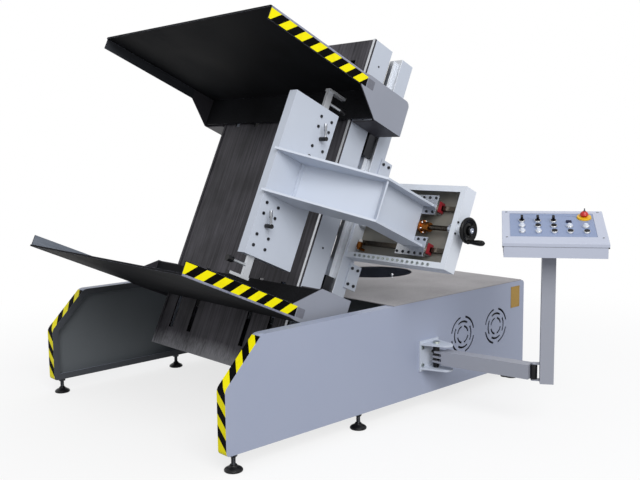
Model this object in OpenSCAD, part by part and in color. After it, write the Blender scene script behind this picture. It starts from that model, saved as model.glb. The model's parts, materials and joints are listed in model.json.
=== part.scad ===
// Pile turner: a floor-standing machine that clamps a tall stack between two platforms, leans it
// back on a tilting mast and jogs its side with a plate on a screw-driven arm.
// Millimetres, +Z up, +Y to the back, +X to the operator's side. The origin is the middle of the
// bounding box at floor level. The mast is drawn leaning back by tilt_deg.

/* [Base] */
// Width over both side panels
base_w = 1460; // [1420:5:1560]
// Length of a side panel, front to back
base_l = 1910; // [1880:5:2000]
// Thickness of a side panel
panel_t = 52; // [50:1:58]
// Height of a side panel's underside over the floor
panel_low = 70; // [64:1:80]
// Height of a side panel's top over the floor
panel_top = 504; // [490:1:520]
// Height where the sloped nose of a side panel starts
nose_z = 322; // [280:1:360]
// Length of the sloped nose
nose_run = 176; // [140:1:210]
// Sheet thickness of the base
sheet_t = 4; // [3:0.5:5]
// Width of the inward lip round a side panel
lip_w = 30; // [24:1:36]
// Distance from the panels' front to the cabinet's front wall
cab_y = 1130; // [1120:5:1160]
// Distance from the panels' front to the top cover's front edge
cover_y = 915; // [905:5:930]
// Diameter of the round opening in the top cover
hatch_d = 410; // [360:5:430]
// Distance from the panels' back to the middle of that opening
hatch_back = 350; // [330:5:370]
// Diameter of a levelling foot
foot_d = 72; // [60:1:76]
// Diameter of a levelling foot's spindle
spindle_d = 18; // [14:1:22]

/* [Blowers] */
// Inner diameter of a blower duct
duct_d = 186; // [180:1:200]
// Wall of a blower duct
duct_wall = 6; // [4:0.5:8]
// Length of a blower duct behind the panel's skin
duct_len = 120; // [100:1:140]
// Diameter of a fan over its blades
fan_d = 172; // [160:1:176]
// Diameter of a fan's shaft
fan_shaft_d = 12; // [10:1:14]
// Width of a vent slot
vent_slot = 10; // [8:0.5:11]

/* [Tilt] */
// Lean of the mast behind the vertical, degrees
tilt_deg = 24.2; // [23.5:0.1:25]
// Distance from the panels' front to the tilt axis
axis_y = 960; // [950:1:965]
// Height of the tilt axis over the floor
axis_z = 385; // [380:1:390]
// Diameter of the tilt shaft
shaft_d = 70; // [60:1:76]
// Radial clearance of a running fit
run_gap = 0.05; // [0.03:0.01:0.09]
// Gap round a sliding fit
slide_gap = 0.4; // [0.35:0.05:0.6]
// Side of a square tilt bearing
bearing_s = 140; // [130:1:150]
// Width of the tilting beam
beam_w = 240; // [220:1:260]
// Diameter of the slewing spindle
slew_d = 160; // [140:1:170]
// Outer diameter of the slewing housing
slew_od = 300; // [280:1:320]

/* [Mast] */
// Width of the mast
mast_w = 940; // [920:2:950]
// Height of the mast
mast_h = 1594; // [1590:2:1600]
// Distance of the mast's front behind which the tilt axis lies
mast_ahead = 420; // [416:1:424]
// Height of the slewing axis over the tilt axis, along the mast
mast_above = 437; // [434:1:440]
// Thickness of the mast's plates
mast_t = 6; // [5:0.5:6]
// Depth of a mast side
side_d = 122; // [118:1:124]
// Width of a mast side's folded edge
side_fold = 70; // [66:1:74]
// Distance from the mast's front to a rear column
col_y = 198; // [198:1:202]
// Side of a square rear column
col_s = 80; // [78:1:84]
// Side of a linear rail
rail_s = 24; // [20:1:24]
// Width of the bright strip on a front corner
strip_w = 14; // [10:1:18]
// Depth of the bright strip
strip_t = 5; // [4:0.5:8]
// Width of a slot in the front plate
slot_w = 31; // [29:1:34]
// Diameter of the clamping screw
clamp_d = 40; // [36:1:44]

/* [Platforms] */
// Width of a platform over its flanges
tray_w = 1262; // [1250:2:1268]
// Reach of a platform in front of the mast
tray_reach = 709; // [680:1:730]
// Distance between the two platforms' outer faces
jaw_h = 1083; // [1079:1:1087]
// Thickness of a platform
tray_t = 8; // [6:0.5:10]
// Height of a platform's side flange
flange_h = 56; // [50:1:60]
// Thickness of a flange or cheek
cheek_t = 6; // [5:0.5:7]
// Height of a cheek
cheek_h = 158; // [152:1:162]
// Gap between a platform and the mast
tray_gap = 12; // [11:0.5:14]
// Travel of a platform towards the other one
travel_in = 50; // [40:1:56]
// Travel of a platform away from the other one
travel_out = 245; // [240:1:246]

/* [Jogger] */
// Distance from the middle to the outer face of the jogging plate
jog_x = 520; // [515:1:525]
// Thickness of the jogging plate's pan
jog_t = 45; // [43:1:48]
// Width of the jogging plate
jog_w = 260; // [250:1:270]
// Height of the jogging plate
jog_h = 710; // [700:2:720]
// Distance from the middle to the arm's outer run
arm_x = 830; // [826:1:836]
// Height of the arm over its flanges
arm_h = 190; // [184:1:196]
// Thickness of the arm's flanges
arm_t = 10; // [8:0.5:12]
// Length of the rail box beside the mast
box_l = 565; // [560:1:575]
// Height of the rail box
box_h = 360; // [354:1:366]
// Depth of the rail box
box_d = 70; // [68:1:72]
// Diameter of the lead screw
screw_d = 22; // [20:1:24]
// Diameter of the handwheel
wheel_d = 112; // [104:1:120]
// Diameter of the crank handle
crank_d = 24; // [20:1:26]
// Width of a nozzle bar
bar_w = 32; // [28:1:34]
// Thickness of a nozzle bar
bar_t = 14; // [12:0.5:16]

/* [Console] */
// Length of the console arm between its pivots
carm_l = 461; // [450:1:480]
// Direction of the console arm from the machine's side, degrees
carm_yaw = 11; // [9:0.5:13]
// Height of the console arm's middle over the floor
carm_z = 252; // [246:1:258]
// Height of the console arm's tube
carm_h = 62; // [58:1:66]
// Width of the console arm's tube
carm_w = 60; // [56:1:62]
// Diameter of the console arm's pivot pin
pin_d = 20; // [18:1:24]
// Side of the square console post
post_s = 56; // [52:1:60]
// Direction the console is turned to, degrees
desk_yaw = 35.5; // [33:0.5:38]
// Width of the console box
desk_w = 400; // [394:1:410]
// Depth of the console box
desk_d = 290; // [286:1:296]
// Height of the console box's front
desk_h = 58; // [52:1:64]
// Height of the console box's underside over the floor
desk_z = 754; // [750:1:760]
// Slope of the console's face, degrees
desk_slope = 20; // [18:0.5:22]
// Thickness of the console's lid
lid_t = 14; // [12:0.5:16]
// Diameter of a push button
press_d = 22; // [20:0.5:24]
// Diameter of a control's bezel
bezel_d = 30; // [29:0.5:32]

/* [Hidden] */
$fn = 48;

half_w = base_w / 2;
skin_x = half_w - sheet_t;
bay_x = half_w - panel_t;
back_r = 18;
toe_r = 16;
bend_r = 40;
nose_deg = atan2(panel_top - nose_z, nose_run);
hatch_y = base_l - hatch_back;
cover_end = base_l - back_r - 2;
foot_ys = [50, 715, base_l - 66];
vent_ys = [base_l - 507, base_l - 241];
vent_z = 300;
gland_l = 30;
member_h = 60;
member_w = 80;
member_ys = [axis_y - 40, base_l - 90];

// Places on the mast are (x across, y behind its front face, z from the slewing axis).
mast_x = mast_w / 2;
end_z = mast_h / 2;
beam_y = 355;
beam_d = 70;
slew_y = beam_y - 5;
slew_l = beam_d + 10;
cross_y = col_y + col_s;
cross_d = 50;
cross_z = 255;
cross_h = 100;
hub_t = slew_y - 2 - cross_y - cross_d;
block_x = mast_x - 40;
slot_xs = [-360, -205, 205, 360];
tongue_z = jaw_h / 2 - 100;
slot_lo = tongue_z - travel_in - 12;
slot_hi = tongue_z + travel_out + 14;
screw_y = 64;
tray_z = jaw_h / 2;
sheet_z = tray_z + 20;
box_y = col_y + 13;
box_end = mast_x + box_l;
screw_z = 0;
screw_row = box_y + 29;
jog_rail_z = 93;
jog_rail_s = 20;
jog_rail_y = box_y + box_d - 6 - jog_rail_s;
boss_l = 14;
wheel_x = box_end + 38;
crank_r = 48;
crank_l = 80;
jog_y = -120;
bar_off = 68;
web_y = -228;
shoe_l = 100;
lever_out = 40;
lever_l = 62;
lever_lean = 22;

pivot_x = half_w + 48;
pivot_y = 1145;
barrel_d = 30;
barrel_off = post_s / 2 + 24;
barrel_x = pivot_x + carm_l * cos(carm_yaw);
barrel_y = pivot_y + carm_l * sin(carm_yaw);
post_x = barrel_x + barrel_off * cos(desk_yaw);
post_y = barrel_y + barrel_off * sin(desk_yaw);
desk_right = desk_w / 2 + 15;
desk_front = desk_d / 2 + 1;
lid_over = 6;
col_us = [75, 139, 202, 264, 328];
row_vs = [104, 154, 202];
stop_v = 243;
lamp_at = [[0, 1], [3, 1], [4, 1], [0, 0], [1, 0]];
push_at = [[1, 1], [2, 1], [2, 0], [3, 0], [4, 0]];

low_y = axis_y - (tray_reach + mast_ahead) * cos(tilt_deg) + (mast_above - tray_z) * sin(tilt_deg);
high_x = post_x + (desk_right + lid_over) * cos(desk_yaw) + desk_front * sin(desk_yaw);
low_x = -max(half_w, half_w - panel_t / 2 + foot_d / 2);
shift = [-(low_x + high_x) / 2, -(low_y + base_l + gland_l) / 2, 0];

grey = "#9fa6be";
cover_grey = "#8f8f94";
pale = "#c9cdd8";
dark = "#3a3a3e";
steel = "#b9bcc2";
black = "#1c1c1e";

// Frames

module placed() {
    translate(shift) children();
}

module on_mast() {
    placed() translate([0, axis_y, axis_z]) rotate([-tilt_deg, 0, 0])
        translate([0, -mast_ahead, mast_above]) children();
}

module on_arm() {
    placed() translate([pivot_x, pivot_y, carm_z]) rotate([0, 0, carm_yaw]) children();
}

module on_post() {
    placed() translate([post_x, post_y, 0]) rotate([0, 0, desk_yaw]) children();
}

// On the console's face: u from its left edge, v up its slope from the front, w out of it.
module on_face(u, v) {
    on_post() translate([desk_right - desk_w, -desk_front, desk_z + desk_h]) rotate([desk_slope, 0, 0])
        translate([u, v, 0]) children();
}

// Shapes

module bar(a, b) {
    translate(a) cube(b - a);
}

module x_plate(x0, x1) {
    translate([x0, 0, 0]) rotate([90, 0, 90]) linear_extrude(x1 - x0) children();
}

module x_rod(x0, x1, y, z, d) {
    translate([x0, y, z]) rotate([0, 90, 0]) cylinder(d = d, h = x1 - x0);
}

module y_rod(x, y0, y1, z, d) {
    translate([x, y0, z]) rotate([-90, 0, 0]) cylinder(d = d, h = y1 - y0);
}

module z_rod(x, y, z0, z1, d) {
    translate([x, y, z0]) cylinder(d = d, h = z1 - z0);
}

module both_sides() {
    children();
    mirror([1, 0, 0]) children();
}

module both_ends() {
    children();
    mirror([0, 0, 1]) children();
}

module hex_head(d, h) {
    cylinder(d = d, h = h, $fn = 6);
}

// Base

function arc(middle, r, from, to) =
    [for (i = [0:6]) let (a = from + (to - from) * i / 6) middle + r * [cos(a), sin(a)]];

module panel_outline() {
    bend = bend_r * tan((90 - nose_deg) / 2);
    brow = bend_r * tan(nose_deg / 2);
    polygon(concat(
        arc([toe_r, panel_low + toe_r], toe_r, 270, 180),
        arc([bend_r, nose_z - bend], bend_r, 180, 90 + nose_deg),
        arc([nose_run + brow, panel_top - bend_r], bend_r, 90 + nose_deg, 90),
        arc([base_l - back_r, panel_top - back_r], back_r, 90, 0),
        [[base_l, panel_low]]));
}

module side_panel() {
    x_plate(skin_x, half_w) panel_outline();
    x_plate(bay_x, half_w) difference() {
        panel_outline();
        offset(delta = -sheet_t) panel_outline();
    }
    x_plate(bay_x, bay_x + sheet_t) difference() {
        panel_outline();
        offset(delta = -lip_w) panel_outline();
    }
}

module arc_slot(r, from, to) {
    polygon(concat(
        [for (i = [0:8]) let (a = from + (to - from) * i / 8) (r - vent_slot / 2) * [cos(a), sin(a)]],
        [for (i = [8:-1:0]) let (a = from + (to - from) * i / 8) (r + vent_slot / 2) * [cos(a), sin(a)]]));
}

module vent() {
    for (ring = [0:2], k = [0:3])
        arc_slot(40 + 23 * ring, 90 * k + 45 * ring + 12, 90 * k + 45 * ring + 78);
}

module side_panel_near() {
    color(grey) placed() difference() {
        side_panel();
        x_plate(skin_x - 1, half_w + 1) for (y = vent_ys) translate([y, vent_z]) vent();
    }
}

module side_panel_far() {
    color(grey) placed() mirror([1, 0, 0]) side_panel();
}

module top_cover() {
    notch = beam_w / 2 + 30;
    color(cover_grey) placed() difference() {
        bar([-half_w + 2, cover_y, panel_top], [half_w - 2, cover_end, panel_top + sheet_t]);
        bar([-notch, cover_y - 1, panel_top - 1], [notch, cab_y, panel_top + sheet_t + 1]);
        z_rod(0, hatch_y, panel_top - 1, panel_top + sheet_t + 1, hatch_d);
    }
}

module rear_wall() {
    color(grey) placed() difference() {
        union() {
            bar([-bay_x, base_l - sheet_t, panel_low], [bay_x, base_l, panel_top]);
            bar([-bay_x, cover_end - 30, panel_top - sheet_t], [bay_x, base_l, panel_top]);
        }
        for (i = [0:7]) bar([-120, base_l - sheet_t - 1, 200 + 24 * i], [120, base_l + 1, 208 + 24 * i]);
    }
}

module cabinet_bulkhead() {
    color(grey) placed()
        bar([-bay_x, cab_y, panel_low], [bay_x, cab_y + sheet_t, panel_top]);
}

module cross_members() {
    half = member_w / 2;
    z0 = panel_low + 5;
    color(grey) placed() for (y = member_ys) difference() {
        bar([-bay_x, y - half, z0], [bay_x, y + half, z0 + member_h]);
        bar([-bay_x - 1, y - half + 5, z0 + 5], [bay_x + 1, y + half - 5, z0 + member_h - 5]);
    }
}

module levelling_feet() {
    color(black) placed() both_sides() for (y = foot_ys) translate([half_w - panel_t / 2, y, 0]) {
        cylinder(d = foot_d, h = 8);
        translate([0, 0, 8]) cylinder(d1 = foot_d - 6, d2 = spindle_d + 10, h = 12);
        cylinder(d = spindle_d, h = panel_low);
        translate([0, 0, panel_low - 12]) hex_head(spindle_d + 14, 12);
    }
}

module tilt_bearings() {
    half = bearing_s / 2;
    color(dark) placed() both_sides() difference() {
        bar([skin_x - 40, axis_y - half, axis_z - half], [skin_x, axis_y + half, axis_z + half]);
        x_rod(skin_x - 41, skin_x + 1, axis_y, axis_z, shaft_d + 2 * run_gap);
    }
}

module tilt_gearmotor() {
    gear_x = -320;
    foot_y = member_ys[0];
    color(dark) placed() {
        difference() {
            bar([gear_x - 75, axis_y - 78, axis_z - 85], [gear_x + 75, axis_y + 90, axis_z + 85]);
            x_rod(gear_x - 76, gear_x + 76, axis_y, axis_z, shaft_d + 2 * run_gap);
        }
        z_rod(gear_x, axis_y + 52, panel_low + member_h + 12, axis_z - 85, 104);
        bar([gear_x - 50, foot_y - 30, panel_low + 5 + member_h], [gear_x + 50, foot_y - 6, axis_z - 85]);
    }
}

module blower_ducts() {
    color(dark) placed() for (y = vent_ys) {
        x0 = skin_x - duct_len;
        difference() {
            x_rod(x0, skin_x, y, vent_z, duct_d + 2 * duct_wall);
            x_rod(x0 - 1, skin_x + 1, y, vent_z, duct_d);
        }
        difference() {
            union() {
                x_rod(x0, x0 + 12, y, vent_z, 44);
                for (a = [0, 120, 240]) translate([x0, y, vent_z]) rotate([a, 0, 0])
                    bar([0, -6, 18], [8, 6, duct_d / 2 + 1]);
            }
            x_rod(x0 - 1, x0 + 13, y, vent_z, fan_shaft_d + 2 * run_gap);
        }
    }
}

module fan(y) {
    x0 = skin_x - duct_len;
    color(black) placed() translate([0, y, vent_z]) {
        x_rod(x0 + 1, x0 + 80, 0, 0, fan_shaft_d);
        x_rod(x0 + 20, x0 + 80, 0, 0, 58);
        for (k = [0:6]) translate([x0 + 50, 0, 0]) rotate([k * 360 / 7, 0, 0]) rotate([0, 0, 38])
            bar([-2, -26, 20], [2, 26, fan_d / 2 - 4]);
    }
}

module front_fan() {
    fan(vent_ys[0]);
}

module rear_fan() {
    fan(vent_ys[1]);
}

module cable_gland() {
    color(black) placed() translate([-half_w + 230, base_l, panel_low + 80]) rotate([-90, 0, 0]) {
        hex_head(44, 10);
        cylinder(d = 32, h = gland_l);
    }
}

module console_bracket() {
    ear_end = [pivot_x + 45, pivot_y + 10];
    color(pale) placed() {
        bar([half_w, pivot_y - 65, carm_z - 70], [half_w + 8, pivot_y + 65, carm_z + 70]);
        for (z = [carm_z - 60, carm_z + 52]) difference() {
            translate([0, 0, z]) linear_extrude(8) polygon(concat(
                [[half_w + 8, pivot_y - 60]],
                [for (a = [-75:15:75]) ear_end + 34 * [cos(a), sin(a)]],
                [[half_w + 8, pivot_y + 60]]));
            z_rod(pivot_x, pivot_y, z - 1, z + 9, pin_d);
        }
        z_rod(pivot_x, pivot_y, carm_z - 66, carm_z + 68, pin_d);
        z_rod(pivot_x, pivot_y, carm_z + 60, carm_z + 68, pin_d + 12);
        for (y = [-50, 50], z = [-40, 40])
            translate([half_w + 8, pivot_y + y, carm_z + z]) rotate([0, 90, 0]) hex_head(16, 7);
    }
}

// Tilting beam and slewing drive

module tilt_shaft() {
    color(steel) placed() x_rod(-skin_x + 3, skin_x - 3, axis_y, axis_z, shaft_d);
}

module tilt_beam() {
    z0 = -mast_above;
    color(grey) on_mast() difference() {
        union() {
            x_rod(-beam_w / 2, beam_w / 2, mast_ahead, z0, shaft_d + 60);
            bar([-beam_w / 2, beam_y, z0], [beam_w / 2, beam_y + beam_d, -slew_od / 2 - 30]);
        }
        x_rod(-beam_w, beam_w, mast_ahead, z0, shaft_d + 2 * run_gap);
    }
}

module slew_housing() {
    color(dark) on_mast() difference() {
        union() {
            y_rod(0, slew_y, slew_y + slew_l, 0, slew_od);
            bar([-beam_w / 2, slew_y, -slew_od / 2 - 30], [beam_w / 2, slew_y + slew_l, slew_od / 2]);
        }
        y_rod(0, slew_y - 1, slew_y + slew_l + 1, 0, slew_d + 2 * run_gap);
    }
}

module slew_motor() {
    z = slew_od / 2;
    color(dark) on_mast() {
        bar([-110, slew_y + 4, z], [110, slew_y + slew_l - 4, z + 76]);
        x_rod(-330, -110, slew_y + slew_l / 2, z + 40, 70);
        x_rod(-350, -330, slew_y + slew_l / 2, z + 40, 60);
    }
}

// Mast

module slew_hub() {
    y0 = cross_y + cross_d;
    color(steel) on_mast() {
        bar([-180, y0, -cross_z - cross_h / 2], [180, y0 + hub_t, cross_z + cross_h / 2]);
        y_rod(0, y0, slew_y + slew_l + 14, 0, slew_d);
        y_rod(0, slew_y + slew_l + 2, slew_y + slew_l + 14, 0, slew_d + 50);
    }
}

module mast_plate() {
    color(dark) on_mast() difference() {
        bar([-mast_x, 0, -end_z], [mast_x, mast_t, end_z]);
        both_ends() for (x = slot_xs)
            bar([x - slot_w / 2, -1, slot_lo], [x + slot_w / 2, mast_t + 1, slot_hi]);
    }
}

module mast_sides() {
    color(pale) on_mast() {
        both_sides() difference() {
            bar([mast_x - side_fold, mast_t, -end_z], [mast_x, side_d, end_z]);
            bar([mast_x - side_fold - 1, 2 * mast_t, -end_z - 1],
                [mast_x - mast_t, side_d - mast_t, end_z + 1]);
        }
        both_ends() difference() {
            bar([-mast_x + mast_t, 2 * mast_t, end_z - 12], [mast_x - mast_t, side_d - mast_t, end_z]);
            z_rod(0, screw_y, end_z - 13, end_z + 1, clamp_d + 2 * run_gap);
        }
        both_ends()
            bar([-mast_x + side_fold, side_d - mast_t, sheet_z], [mast_x - side_fold, side_d, end_z]);
    }
}

module bright_rails() {
    half = rail_s / 2;
    color(steel) on_mast() {
        both_sides() bar([mast_x - strip_w, -strip_t, -end_z], [mast_x, 0, end_z]);
        both_sides() bar([block_x - half, col_y - rail_s, -end_z + 16], [block_x + half, col_y, end_z - 16]);
        both_ends() bar([mast_x + 6, jog_rail_y, jog_rail_z - jog_rail_s / 2],
            [box_end - 6, jog_rail_y + jog_rail_s, jog_rail_z + jog_rail_s / 2]);
    }
}

module rear_columns() {
    color(pale) on_mast() both_sides() difference() {
        bar([mast_x - col_s, col_y, -end_z], [mast_x, col_y + col_s, end_z]);
        bar([mast_x - col_s + 6, col_y + 6, -end_z - 1], [mast_x - 6, col_y + col_s - 6, end_z + 1]);
    }
}

module mast_crossbeams() {
    z0 = cross_z - cross_h / 2;
    z1 = cross_z + cross_h / 2;
    color(pale) on_mast() both_ends() {
        bar([-mast_x, cross_y, z0], [mast_x, cross_y + cross_d, z1]);
        both_sides() bar([mast_x - col_s, side_d, z0], [block_x - rail_s / 2 - 2, col_y, z1]);
    }
}

module column_brackets() {
    z0 = cross_z - cross_h / 2 - 8;
    z1 = cross_z + cross_h / 2 + 8;
    color(pale) on_mast() both_ends() both_sides()
        bar([mast_x, cross_y - 26, z0], [mast_x + 8, cross_y + cross_d - 2, z1]);
}

module mast_bolts() {
    color(black) on_mast() {
        both_ends() both_sides() for (y = [-12, 26], z = [-37, 37])
            translate([mast_x + 8, cross_y + y, cross_z + z]) rotate([0, 90, 0]) hex_head(15, 6);
        for (i = [0:15])
            y_rod(mast_x + 60 + 28 * i, box_y - 6, box_y, -box_h / 2 + 12, 11);
    }
}

module rail_box() {
    y1 = box_y + box_d;
    z = box_h / 2;
    color(pale) on_mast() difference() {
        union() {
            difference() {
                bar([mast_x, box_y, -z], [box_end, y1, z]);
                bar([mast_x + 6, box_y + 5, -z + 5], [box_end - 6, y1 - 6, z - 5]);
                bar([mast_x + 6, box_y - 1, -z + 26], [box_end - 26, box_y + 6, z - 26]);
            }
            x_rod(mast_x + 6, mast_x + 26, screw_row, screw_z, 46);
            x_rod(box_end - 24, box_end + boss_l, screw_row, screw_z, 46);
        }
        x_rod(mast_x + 4, box_end + boss_l + 1, screw_row, screw_z, screw_d + 2 * run_gap);
    }
}

module clamp_screw() {
    color(steel) on_mast() z_rod(0, screw_y, -end_z, end_z, clamp_d);
}

// Platforms, drawn as the upper one and mirrored for the lower one

module tray() {
    r = 6;
    x = tray_w / 2;
    difference() {
        union() {
            translate([0, 0, tray_z - tray_t]) linear_extrude(tray_t) polygon(concat(
                [[-x, -tray_gap], [x, -tray_gap]],
                [for (a = [0:-15:-90]) [x - r + r * cos(a), -tray_reach + r + r * sin(a)]],
                [for (a = [-90:-15:-180]) [-x + r + r * cos(a), -tray_reach + r + r * sin(a)]]));
            both_sides() bar([x - cheek_t, -tray_reach + r, tray_z - flange_h], [x, -150, tray_z - tray_t]);
            bar([-x + cheek_t, -tray_gap - 8, tray_z - 150], [x - cheek_t, -tray_gap, tray_z - tray_t]);
        }
        both_sides() bar([x - cheek_t, -150, tray_z - flange_h - 200], [x + 1, 0, tray_z + 1]);
    }
}

module cheek_outline() {
    r = 26;
    y1 = 164;
    z1 = tray_z + 6;
    polygon(concat(
        [[-150, tray_z], [-150, tray_z - flange_h], [-19, tray_z - cheek_h], [y1, tray_z - cheek_h]],
        [for (a = [0:15:90]) [y1 - r + r * cos(a), z1 - r + r * sin(a)]],
        [[-110, z1]]));
}

module cheeks() {
    x = tray_w / 2;
    z0 = tray_z - cheek_h;
    both_sides() {
        x_plate(x - cheek_t, x) cheek_outline();
        bar([mast_x + 14, -4, z0], [x - cheek_t, 164, z0 + 6]);
    }
}

module carriage() {
    x = tray_w / 2 - cheek_t;
    z0 = tray_z - cheek_h + 6;
    z1 = tray_z - 12;
    groove = rail_s / 2 + slide_gap;
    both_sides() difference() {
        union() {
            bar([block_x - 26, side_d + 6, z0], [x, side_d + 24, z1]);
            bar([block_x - 26, side_d + 24, z0], [block_x + 26, col_y - 2, z1]);
            bar([block_x - 10, side_d + 24, z0 - shoe_l], [block_x + 26, col_y - 2, z0]);
        }
        bar([block_x - groove, col_y - rail_s - slide_gap, z0 - shoe_l - 1],
            [block_x + groove, col_y, z1 + 1]);
    }
    difference() {
        union() {
            for (sx = slot_xs) bar([sx - 10, -tray_gap, tongue_z - 8], [sx + 10, screw_y - 30, tongue_z + 8]);
            bar([-380, screw_y - 38, tongue_z - 20], [380, screw_y - 14, tongue_z + 20]);
            bar([-40, screw_y - 14, tongue_z - 20], [40, screw_y + 40, tongue_z + 20]);
        }
        z_rod(0, screw_y, tongue_z - 21, tongue_z + 21, clamp_d + 2 * run_gap);
    }
}

module lower_tray() {
    color(dark) on_mast() mirror([0, 0, 1]) tray();
}

module lower_cheeks() {
    color(grey) on_mast() mirror([0, 0, 1]) cheeks();
}

module lower_carriage() {
    color(steel) on_mast() mirror([0, 0, 1]) carriage();
}

module upper_tray() {
    color(dark) on_mast() tray();
}

module upper_cheeks() {
    color(grey) on_mast() cheeks();
}

module upper_carriage() {
    color(steel) on_mast() carriage();
}

// Jogger

module arm_flange() {
    polygon([[jog_x, -400], [arm_x + 50, -85], [arm_x + 56, box_y + 6],
        [arm_x - 60, box_y + 6], [arm_x - 60, -12], [jog_x, web_y + 28]]);
}

module arm_web() {
    polygon([[jog_x, web_y], [arm_x + 2, -48], [arm_x + 2, box_y + 6],
        [arm_x - 6, box_y + 6], [arm_x - 6, -44], [jog_x, web_y + 9]]);
}

module jog_arm() {
    h = arm_h / 2;
    rib = [[arm_x + 2, -52], [arm_x + 42, -78], [arm_x + 44, -70], [arm_x + 2, -44]];
    foot = [[jog_x, web_y - 10], [jog_x, web_y + 28], [jog_x + 10, web_y + 28], [jog_x + 10, web_y - 10]];
    color(pale) on_mast() {
        both_ends() translate([0, 0, h - arm_t]) linear_extrude(arm_t) arm_flange();
        translate([0, 0, -h]) linear_extrude(arm_h) arm_web();
        translate([0, 0, -h]) linear_extrude(arm_h) polygon(rib);
        translate([0, 0, -h]) linear_extrude(arm_h) polygon(foot);
        bar([arm_x - 60, box_y - 6, -h], [arm_x + 2, box_y + 6, h]);
    }
}

module jog_plate() {
    y0 = jog_y - jog_w;
    x0 = jog_x - jog_t;
    mid = jog_y - jog_w / 2;
    g = slide_gap;
    color(pale) on_mast() difference() {
        union() {
            difference() {
                bar([x0, y0, -jog_h / 2], [jog_x, jog_y, jog_h / 2]);
                bar([x0 - 1, y0 + 5, -jog_h / 2 + 5], [jog_x - 5, jog_y - 5, jog_h / 2 - 5]);
            }
            for (s = [-1, 1], k = [150, 290]) translate([0, mid + s * bar_off, s * k])
                bar([x0 + 2, -28, -12], [jog_x - 5, 28, 12]);
            for (s = [-1, 1], v = [-32, 32], k = [131, 177, 266, 312])
                x_rod(jog_x, jog_x + 4, mid + s * bar_off + v, s * k, 13);
        }
        for (s = [-1, 1]) {
            bar([jog_x - 25 - bar_t - g, mid + s * bar_off - bar_w / 2 - g, min(s * 100, s * 400)],
                [jog_x - 25 + g, mid + s * bar_off + bar_w / 2 + g, max(s * 100, s * 400)]);
            x_rod(jog_x - 6, jog_x + 1, mid + s * bar_off, s * 221, 10 + 2 * run_gap);
        }
    }
}

module jog_blocks() {
    x0 = arm_x - 84;
    x1 = arm_x + 72;
    y0 = box_y + 6;
    groove = jog_rail_s / 2 + slide_gap;
    color(steel) on_mast() both_ends() {
        bar([x0, y0, jog_rail_z - 43], [x1, y0 + 12, jog_rail_z + 43]);
        difference() {
            bar([x0 + 10, y0 + 12, jog_rail_z - 27], [x1 - 10, jog_rail_y + 16, jog_rail_z + 27]);
            bar([x0 + 9, jog_rail_y - slide_gap, jog_rail_z - groove],
                [x1 - 9, jog_rail_y + 17, jog_rail_z + groove]);
        }
    }
}

module lead_nut() {
    x0 = arm_x - 30;
    x1 = arm_x + 50;
    color("#b5782e") on_mast() difference() {
        union() {
            x_rod(x0, x1, screw_row, screw_z, 40);
            bar([x0 + 5, box_y + 6, -18], [x1 - 35, screw_row, 18]);
            x_rod(arm_x + 6, arm_x + 16, screw_row, screw_z, 60);
        }
        x_rod(x0 - 1, x1 + 1, screw_row, screw_z, screw_d + 2 * run_gap);
    }
}

module lead_screw() {
    color(steel) on_mast() x_rod(mast_x + 7, wheel_x + 22, screw_row, screw_z, screw_d);
}

module handwheel() {
    color(black) on_mast() difference() {
        union() {
            translate([wheel_x + 6, screw_row, screw_z]) rotate([0, 90, 0])
                rotate_extrude() translate([wheel_d / 2 - 9, 0]) circle(d = 16);
            x_rod(wheel_x, wheel_x + 24, screw_row, screw_z, 42);
            x_rod(wheel_x + 3, wheel_x + 9, screw_row, screw_z, wheel_d - 14);
            x_rod(wheel_x + 4, wheel_x + 20 + crank_l, screw_row, -crank_r, 10);
        }
        x_rod(wheel_x - 1, wheel_x + 22, screw_row, screw_z, screw_d);
    }
}

module crank_handle() {
    x0 = wheel_x + 17;
    color(black) on_mast() difference() {
        x_rod(x0, x0 + crank_l, screw_row, -crank_r, crank_d);
        x_rod(x0 - 1, x0 + crank_l + 1, screw_row, -crank_r, 10 + 2 * run_gap);
    }
}

module nozzle_bar(s) {
    mid = jog_y - jog_w / 2 + s * bar_off;
    x1 = jog_x - 25;
    end = s * 440;
    color(steel) on_mast() {
        bar([x1 - bar_t, mid - bar_w / 2, min(s * 110, end)], [x1, mid + bar_w / 2, max(s * 110, end)]);
        bar([x1 - bar_t - 6, mid - 72 * (s < 0 ? 1 : 0) - bar_w / 2, min(end, end + s * 12)],
            [x1 + 6, mid + bar_w / 2 + 72 * (s > 0 ? 1 : 0), max(end, end + s * 12)]);
        translate([x1 - bar_t / 2, mid, s * 395]) rotate([-s * 90, 0, 0]) {
            translate([0, 0, bar_w / 2]) cylinder(d = 12, h = 96 - bar_w / 2);
            translate([0, 0, 84]) cylinder(d = 26, h = 28);
        }
    }
}

module lower_nozzle_bar() {
    nozzle_bar(-1);
}

module upper_nozzle_bar() {
    nozzle_bar(1);
}

module clamp_lever(s) {
    mid = jog_y - jog_w / 2 + s * bar_off;
    x = jog_x + lever_out - 8;
    color(black) on_mast() translate([0, mid, s * 221]) {
        x_rod(jog_x - 5, jog_x + 4, 0, 0, 10);
        x_rod(jog_x + 0.5, jog_x + lever_out, 0, 0, 18);
        rotate([lever_lean, 0, 0]) {
            z_rod(x, 0, 0, lever_l, 10);
            z_rod(x, 0, lever_l - 28, lever_l + 2, 14);
        }
    }
}

module lower_clamp_lever() {
    clamp_lever(-1);
}

module upper_clamp_lever() {
    clamp_lever(1);
}

// Console

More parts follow.
